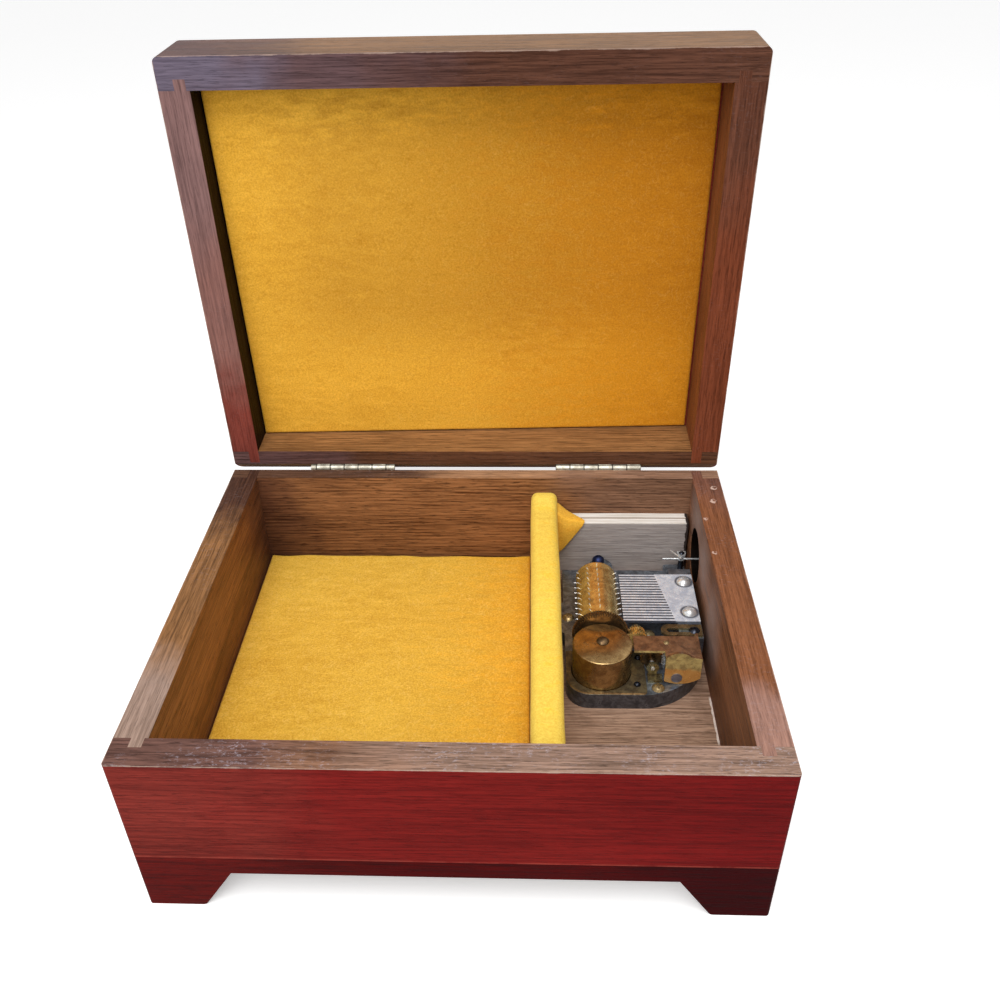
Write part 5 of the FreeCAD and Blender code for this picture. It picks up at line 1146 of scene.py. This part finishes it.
@dataclass
class DividerCover:
    """Velvet stretched over the divider's core, open below."""

    left: float = 20.1
    right: float = 29.2
    reach: float = 59.3
    top: float = 48.0
    edge: float = 2.6
    cloth: float = 0.75
    clear: float = 0.1
    puffs: float = 0.14
    crown: float = 0.22
    lift: float = 1.9
    finish: VelvetFinish = VelvetFinish("divider velvet", (0.72, 0.42, 0.040), (0.97, 0.76, 0.145),
                                        (1.0, 0.9, 0.6), (26.0, 40.0), 0.1)

    def side(self) -> float:
        """Length of the cloth up one side, to where it bends."""
        return self.top - self.edge - FLOOR_Z - self.clear

    def girth(self) -> float:
        """Length of the cloth across the divider."""
        return 2 * self.side() + math.pi * self.edge + self.right - self.left - 2 * self.edge

    def outline(self, run: float) -> tuple[float, float, float, float]:
        """The cover's outline across the divider.

        Args:
            run: Length along the cloth from its lower left edge.

        Returns:
            The x and z of the place, and the x and z of the way out of the cloth there.
        """
        side = self.side()
        turn = math.pi / 2 * self.edge
        half = side + turn + (self.right - self.left - 2 * self.edge) / 2
        back, run = (run > half, 2 * half - run) if run > half else (False, run)
        if run < side:
            x, z, out_x, out_z = self.left, FLOOR_Z + self.clear + run, -1.0, 0.0
        elif run < side + turn:
            angle = (run - side) / self.edge
            out_x, out_z = -math.cos(angle), math.sin(angle)
            x = self.left + self.edge * (1 + out_x)
            z = self.top - self.edge * (1 - out_z)
        else:
            x, z, out_x, out_z = self.left + self.edge + run - side - turn, self.top, 0.0, 1.0
        if back:
            x, out_x = self.left + self.right - x, -out_x
        return x, z, out_x, out_z

    def build(self) -> None:
        """Bend the sheet over the core."""
        girth = self.girth()
        mesh = bmesh.new()
        bmesh.ops.create_grid(mesh, x_segments=110, y_segments=90, size=1.0)
        for vert in mesh.verts:
            run, y = (vert.co.x + 1) / 2 * girth, self.reach * to_edge(vert.co.y)
            x, z, out_x, out_z = self.outline(run)
            height = (z - FLOOR_Z) / (self.top - FLOOR_Z)
            puff = self.puffs * ripple(run, y, 14.0, 8.0) * smooth(z, FLOOR_Z, FLOOR_Z + 8.0)
            puff += self.crown * smooth(height, 0.3, 1.0) * max(0.0, out_z)
            rise = self.lift * smooth(y, 51.0, 58.5) * smooth(height, 0.75, 1.0)
            vert.co = at(x + out_x * puff, y, z + out_z * puff + rise)
        cover = piece_from(mesh, "divider_cover", self.finish)
        thick = cover.modifiers.new("cloth", "SOLIDIFY")
        thick.thickness = self.cloth * MM
        thick.offset = -1.0
        settle(cover, "case", "divider_velvet")


@dataclass
class LooseFlap:
    """The divider velvet's loose end, lying on the support board and hanging before it."""

    finish: VelvetFinish = VelvetFinish("flap velvet", (0.66, 0.30, 0.020), (1.0, 0.60, 0.08),
                                        (1.0, 0.85, 0.6), (28.0, 60.0), 0.1)
    rows: tuple[tuple[Place, ...], ...] = (
        ((28.6, 58.9, 46.6), (30.1, 58.9, 45.2), (32.0, 58.9, 43.0), (34.6, 57.2, 42.4), (38.4, 53.9, 42.2)),
        ((28.6, 57.0, 46.2), (30.4, 57.0, 44.6), (32.6, 56.6, 43.0), (35.0, 55.4, 42.6), (38.5, 53.6, 42.2)),
        ((28.6, 54.4, 45.4), (30.6, 53.6, 43.8), (33.0, 53.2, 42.8), (35.6, 53.0, 42.6), (38.5, 53.2, 42.1)),
        ((28.8, 53.1, 40.2), (30.6, 52.6, 40.4), (33.0, 52.4, 40.6), (35.4, 52.5, 41.0), (38.4, 52.9, 41.7)),
        ((28.9, 52.8, 34.6), (30.6, 52.5, 35.6), (32.8, 52.3, 36.8), (35.0, 52.4, 38.6), (38.2, 52.8, 41.5)),
        ((29.0, 52.6, 28.8), (30.2, 52.6, 29.6), (32.4, 52.5, 32.4), (35.0, 52.6, 36.6), (38.1, 52.8, 41.3)))
    folded_row: int = 2
    fold: float = 0.75
    cloth: float = 0.6
    cut: Pair = (12.5, 23.5)
    cut_area: float = 150e-6

    def build(self) -> None:
        """Lay the cloth through its rows of points."""
        mesh = bmesh.new()
        last_column, last_row = len(self.rows[0]) - 1, len(self.rows) - 1
        bmesh.ops.create_grid(mesh, x_segments=last_column, y_segments=last_row, size=1.0)
        for vert in mesh.verts:
            column = round((vert.co.x + 1) / 2 * last_column)
            row = round((vert.co.y + 1) / 2 * last_row)
            vert.co = at(*self.rows[row][column])
            vert.tag = row == self.folded_row
        crease = mesh.edges.layers.float.new("crease_edge")
        for edge in mesh.edges:
            edge[crease] = self.fold if edge.verts[0].tag and edge.verts[1].tag else 0.0
        flap = piece_from(mesh, "divider_flap", self.finish)
        curved = flap.modifiers.new("drape", "SUBSURF")
        curved.levels = curved.render_levels = 3
        thick = flap.modifiers.new("cloth", "SOLIDIFY")
        thick.thickness = self.cloth * MM
        thick.offset = 0.0
        settle(flap, "case")


@dataclass
class LidPanel(CoveredCard):
    """Velvet covered card in the lid, dropped at its left edge."""

    left: float = -74.8
    right: float = 74.5
    reach: float = 59.2
    thickness: float = 1.0
    edge: float = 0.9
    columns: int = 96
    rows: int = 80
    left_front: float = 64.5
    left_rear: float = 67.8
    seat: float = 72.8
    waves: float = 0.22
    finish: VelvetFinish = VelvetFinish("lid velvet", (0.60, 0.265, 0.014), (1.0, 0.57, 0.068),
                                        (0.81, 0.61, 0.30), (-30.0, 58.0), 0.12, 0.33)

    def face(self, across: float, along: float) -> float:
        """Height of the card's lower face in the closed lid."""
        drop = self.left_front + (self.left_rear - self.left_front) * (along + 1) / 2
        return drop + (self.seat - drop) * (across + 1) / 2

    def top(self, across: float, along: float) -> Vector:
        """A point of the velvet, turned open with the lid.

        Args:
            across: The place across.
            along: The place along.

        Returns:
            The point.
        """
        x, y = self.spread(across, along)
        margin = self.margin(across, along)
        z = self.face(across, along) + rolled_off(margin, self.edge) * 0.9
        z -= self.waves * ripple(x, y, 30.0, 5.0) * smooth(margin, 0.5, 10.0)
        return lid_opening() @ at(x, y, z)

    def under(self, across: float, along: float) -> Vector:
        """A point of the card's back, turned open with the lid."""
        return lid_opening() @ at(*self.spread(across, along), self.face(across, along) + self.thickness)

    def build(self) -> None:
        """Build the panel and set it in the lid."""
        panel = piece_from(self.shape(), "lid_panel_velvet", self.finish)
        settle(panel, "lid", "lid_velvet_panel")


# Metal


BRASS_SCREW = ScrewFinish("brass screw", (0.62, 0.46, 0.22), (0.30, 0.21, 0.10), dirt=0.6, rough=(0.3, 0.55))
AGED_BRASS = MetalFinish("aged brass", (0.46, 0.31, 0.135), (0.26, 0.155, 0.060), (0.07, 0.034, 0.014), 0.4,
                         (0.16, 0.32), 0.9)
DARK_BRONZE = MetalFinish("dark bronze", (0.22, 0.135, 0.060), (0.085, 0.048, 0.022), dirt=0.6)
YELLOW_BRASS = MetalFinish("yellow brass", (0.86, 0.66, 0.27), (0.50, 0.31, 0.10), (0.14, 0.075, 0.025), 0.45,
                           (0.16, 0.34), 0.8)
SHEET_BRASS = GovernorFinish("governor brass", (0.260, 0.130, 0.065), (0.120, 0.055, 0.028),
                             (0.06, 0.035, 0.018), 0.35, (0.16, 0.34), 0.35, (2.7, 4.3, 3.3))
COCK_BRASS = MetalFinish("cock brass", (0.33, 0.28, 0.15), (0.15, 0.115, 0.060), dirt=0.5, rough=(0.18, 0.36))
BASE_BRASS = MetalFinish("base plate brass", (0.22, 0.175, 0.095), (0.095, 0.070, 0.040), dirt=0.5,
                         metallic=0.7, upright_light=(3.6, 3.4, 3.0))
ZINC = MetalFinish("zinc", (0.26, 0.30, 0.35), (0.115, 0.130, 0.155), (0.035, 0.033, 0.036), 0.45,
                   (0.2, 0.4), 0.7, (0.55, 0.55, 0.58))
COMB_STEEL = CombFinish("comb steel", (0.82, 0.89, 0.98), (0.55, 0.62, 0.74), (0.20, 0.22, 0.26), 0.12,
                        (0.2, 0.34), 0.35, (0.25, 0.25, 0.27))
BRIGHT_STEEL = MetalFinish("bright steel", (0.80, 0.81, 0.82), (0.50, 0.51, 0.52), dirt=0.3,
                           rough=(0.15, 0.35), metallic=0.6)
BLACK_STEEL = MetalFinish("blackened steel", (0.050, 0.056, 0.075), (0.018, 0.020, 0.027), (0.01, 0.01, 0.01),
                          0.3, (0.12, 0.3))
NICKEL = HingeFinish("worn nickel", (0.66, 0.63, 0.52), (0.36, 0.33, 0.26), (0.07, 0.055, 0.035), 0.4,
                     metallic=0.45)
SPRING_STEEL = MetalFinish("spring steel", (0.25, 0.25, 0.29), (0.12, 0.12, 0.15), dirt=0.3, metallic=0.6)


@dataclass
class Fittings:
    """The two hinges and every metal piece of the movement."""

    plan: tuple[tuple[MetalFinish, tuple[str, ...]], ...] = (
        (NICKEL, ("hinge_case_leaves", "hinge_lid_leaves", "hinge_pins")),
        (ZINC, ("bedplate",)),
        (BASE_BRASS, ("barrel_base_plate", "train_plate", "cylinder_rear_bracket")),
        (AGED_BRASS, ("spring_barrel", "barrel_cover")),
        (DARK_BRONZE, ("great_gear", "winding_arbor", "worm_wheel")),
        (YELLOW_BRASS, ("cylinder", "idler_gear")),
        (SHEET_BRASS, ("governor_frame",)),
        (COCK_BRASS, ("governor_cock", "worm_wheel_bracket")),
        (BRASS_SCREW, ("mounting_screws", "fly_pivot_bush", "idler_stud")),
        (COMB_STEEL, ("comb",)),
        (BRIGHT_STEEL, ("cylinder_pins", "comb_screws", "cylinder_arbor", "governor_arbor", "worm_shaft",
                        "fly", "stop_lever", "winding_key", "ratchet_wheel", "ratchet_click", "click_rivet")),
        (BLACK_STEEL, ("base_plate_screws", "cock_screw", "stop_post")),
        (SPRING_STEEL, ("mainspring", "frame_rivet")))

    def dress(self) -> None:
        """Finish each piece."""
        for finish, nodes in self.plan:
            finish.dress(*nodes)


# Studio


@dataclass(frozen=True)
class Lamp:
    """A square soft lamp aimed at a point, in metres and watts."""

    name: str
    place: Place
    aim: Place
    watts: float
    size: float = 0.45

    def build(self) -> None:
        """Hang the lamp and turn it to its point."""
        light = bpy.data.lights.new(self.name, "AREA")
        light.shape, light.size, light.energy = "SQUARE", self.size, self.watts
        lamp = bpy.data.objects.new(self.name, light)
        lamp.location = self.place
        lamp.rotation_euler = (Vector(self.place) - Vector(self.aim)).to_track_quat("Z", "Y").to_euler()
        bpy.context.scene.collection.objects.link(lamp)


@dataclass
class Studio:
    """Pale floor, soft light and the camera at the photograph's viewing angle."""

    camera_place: Place = (0.0199207, -0.2365699, 0.2423059)
    camera_turn: Place = (2.1820, 0.0284, -0.0455)
    focal: float = 0.9942339
    centre: Pair = (0.4872802, 0.5120442)
    sensor: float = 36.0
    sky: float = 0.62
    floor_reach: float = 4.0
    lamps: tuple[Lamp, ...] = (Lamp("key", (-0.02, -0.32, 0.76), (0.0, 0.0, 0.04), 4.2),
                               Lamp("front_left", (-0.18, -0.68, 0.44), (0.0, 0.0, 0.08), 1.7))

    def build(self) -> None:
        """Build the floor, the world, the lamps and the camera."""
        self.floor()
        self.world()
        for lamp in self.lamps:
            lamp.build()
        self.camera()
        bpy.context.scene.view_settings.view_transform = "Standard"

    def floor(self) -> None:
        """Lay a wide pale floor."""
        mesh = bmesh.new()
        bmesh.ops.create_grid(mesh, x_segments=4, y_segments=4, size=self.floor_reach)
        piece_from(mesh, "studio_floor", PaleFloor())

    def world(self) -> None:
        """Put white behind the object and in reflections, and a softer light on it."""
        world = bpy.data.worlds.new("studio")
        bpy.context.scene.world = world
        world.use_nodes = True
        world.node_tree.nodes.clear()
        shader = ShaderTree(world.node_tree)
        rays = shader.put("LightPath").outputs
        seen = shader.math("MAXIMUM", rays["Is Camera Ray"], rays["Is Glossy Ray"])
        seen = shader.math("MAXIMUM", seen, rays["Is Transmission Ray"])
        strength = shader.math("MAXIMUM", seen, self.sky)
        back = shader.put("Background", {"Color": PLAIN, "Strength": strength})
        shader.put("OutputWorld", {"Surface": back.outputs[0]})

    def camera(self) -> None:
        """Set the camera, from its turn and its focal length in frame widths."""
        data = bpy.data.cameras.new("photograph")
        data.sensor_width = self.sensor
        data.lens = self.focal * self.sensor
        data.shift_x, data.shift_y = 0.5 - self.centre[0], self.centre[1] - 0.5
        data.clip_start = 0.01
        turn = Vector(self.camera_turn)
        rows = Matrix.Rotation(turn.length, 3, turn.normalized())
        facing = Matrix((rows[0], -rows[1], -rows[2])).transposed().to_4x4()
        camera = bpy.data.objects.new("photograph", data)
        camera.matrix_world = Matrix.Translation(Vector(self.camera_place)) @ facing
        bpy.context.scene.collection.objects.link(camera)
        bpy.context.scene.camera = camera


def main() -> None:
    """Build and dress the box."""
    logging.basicConfig(level=logging.INFO, format="%(message)s")
    Studio().build()
    WoodenCase().dress()
    WoodenLid().dress()
    for part in (FloorPad(), DividerCover(), LooseFlap(), LidPanel()):
        part.build()
    Fittings().dress()


if __name__ == "__main__":
    main()
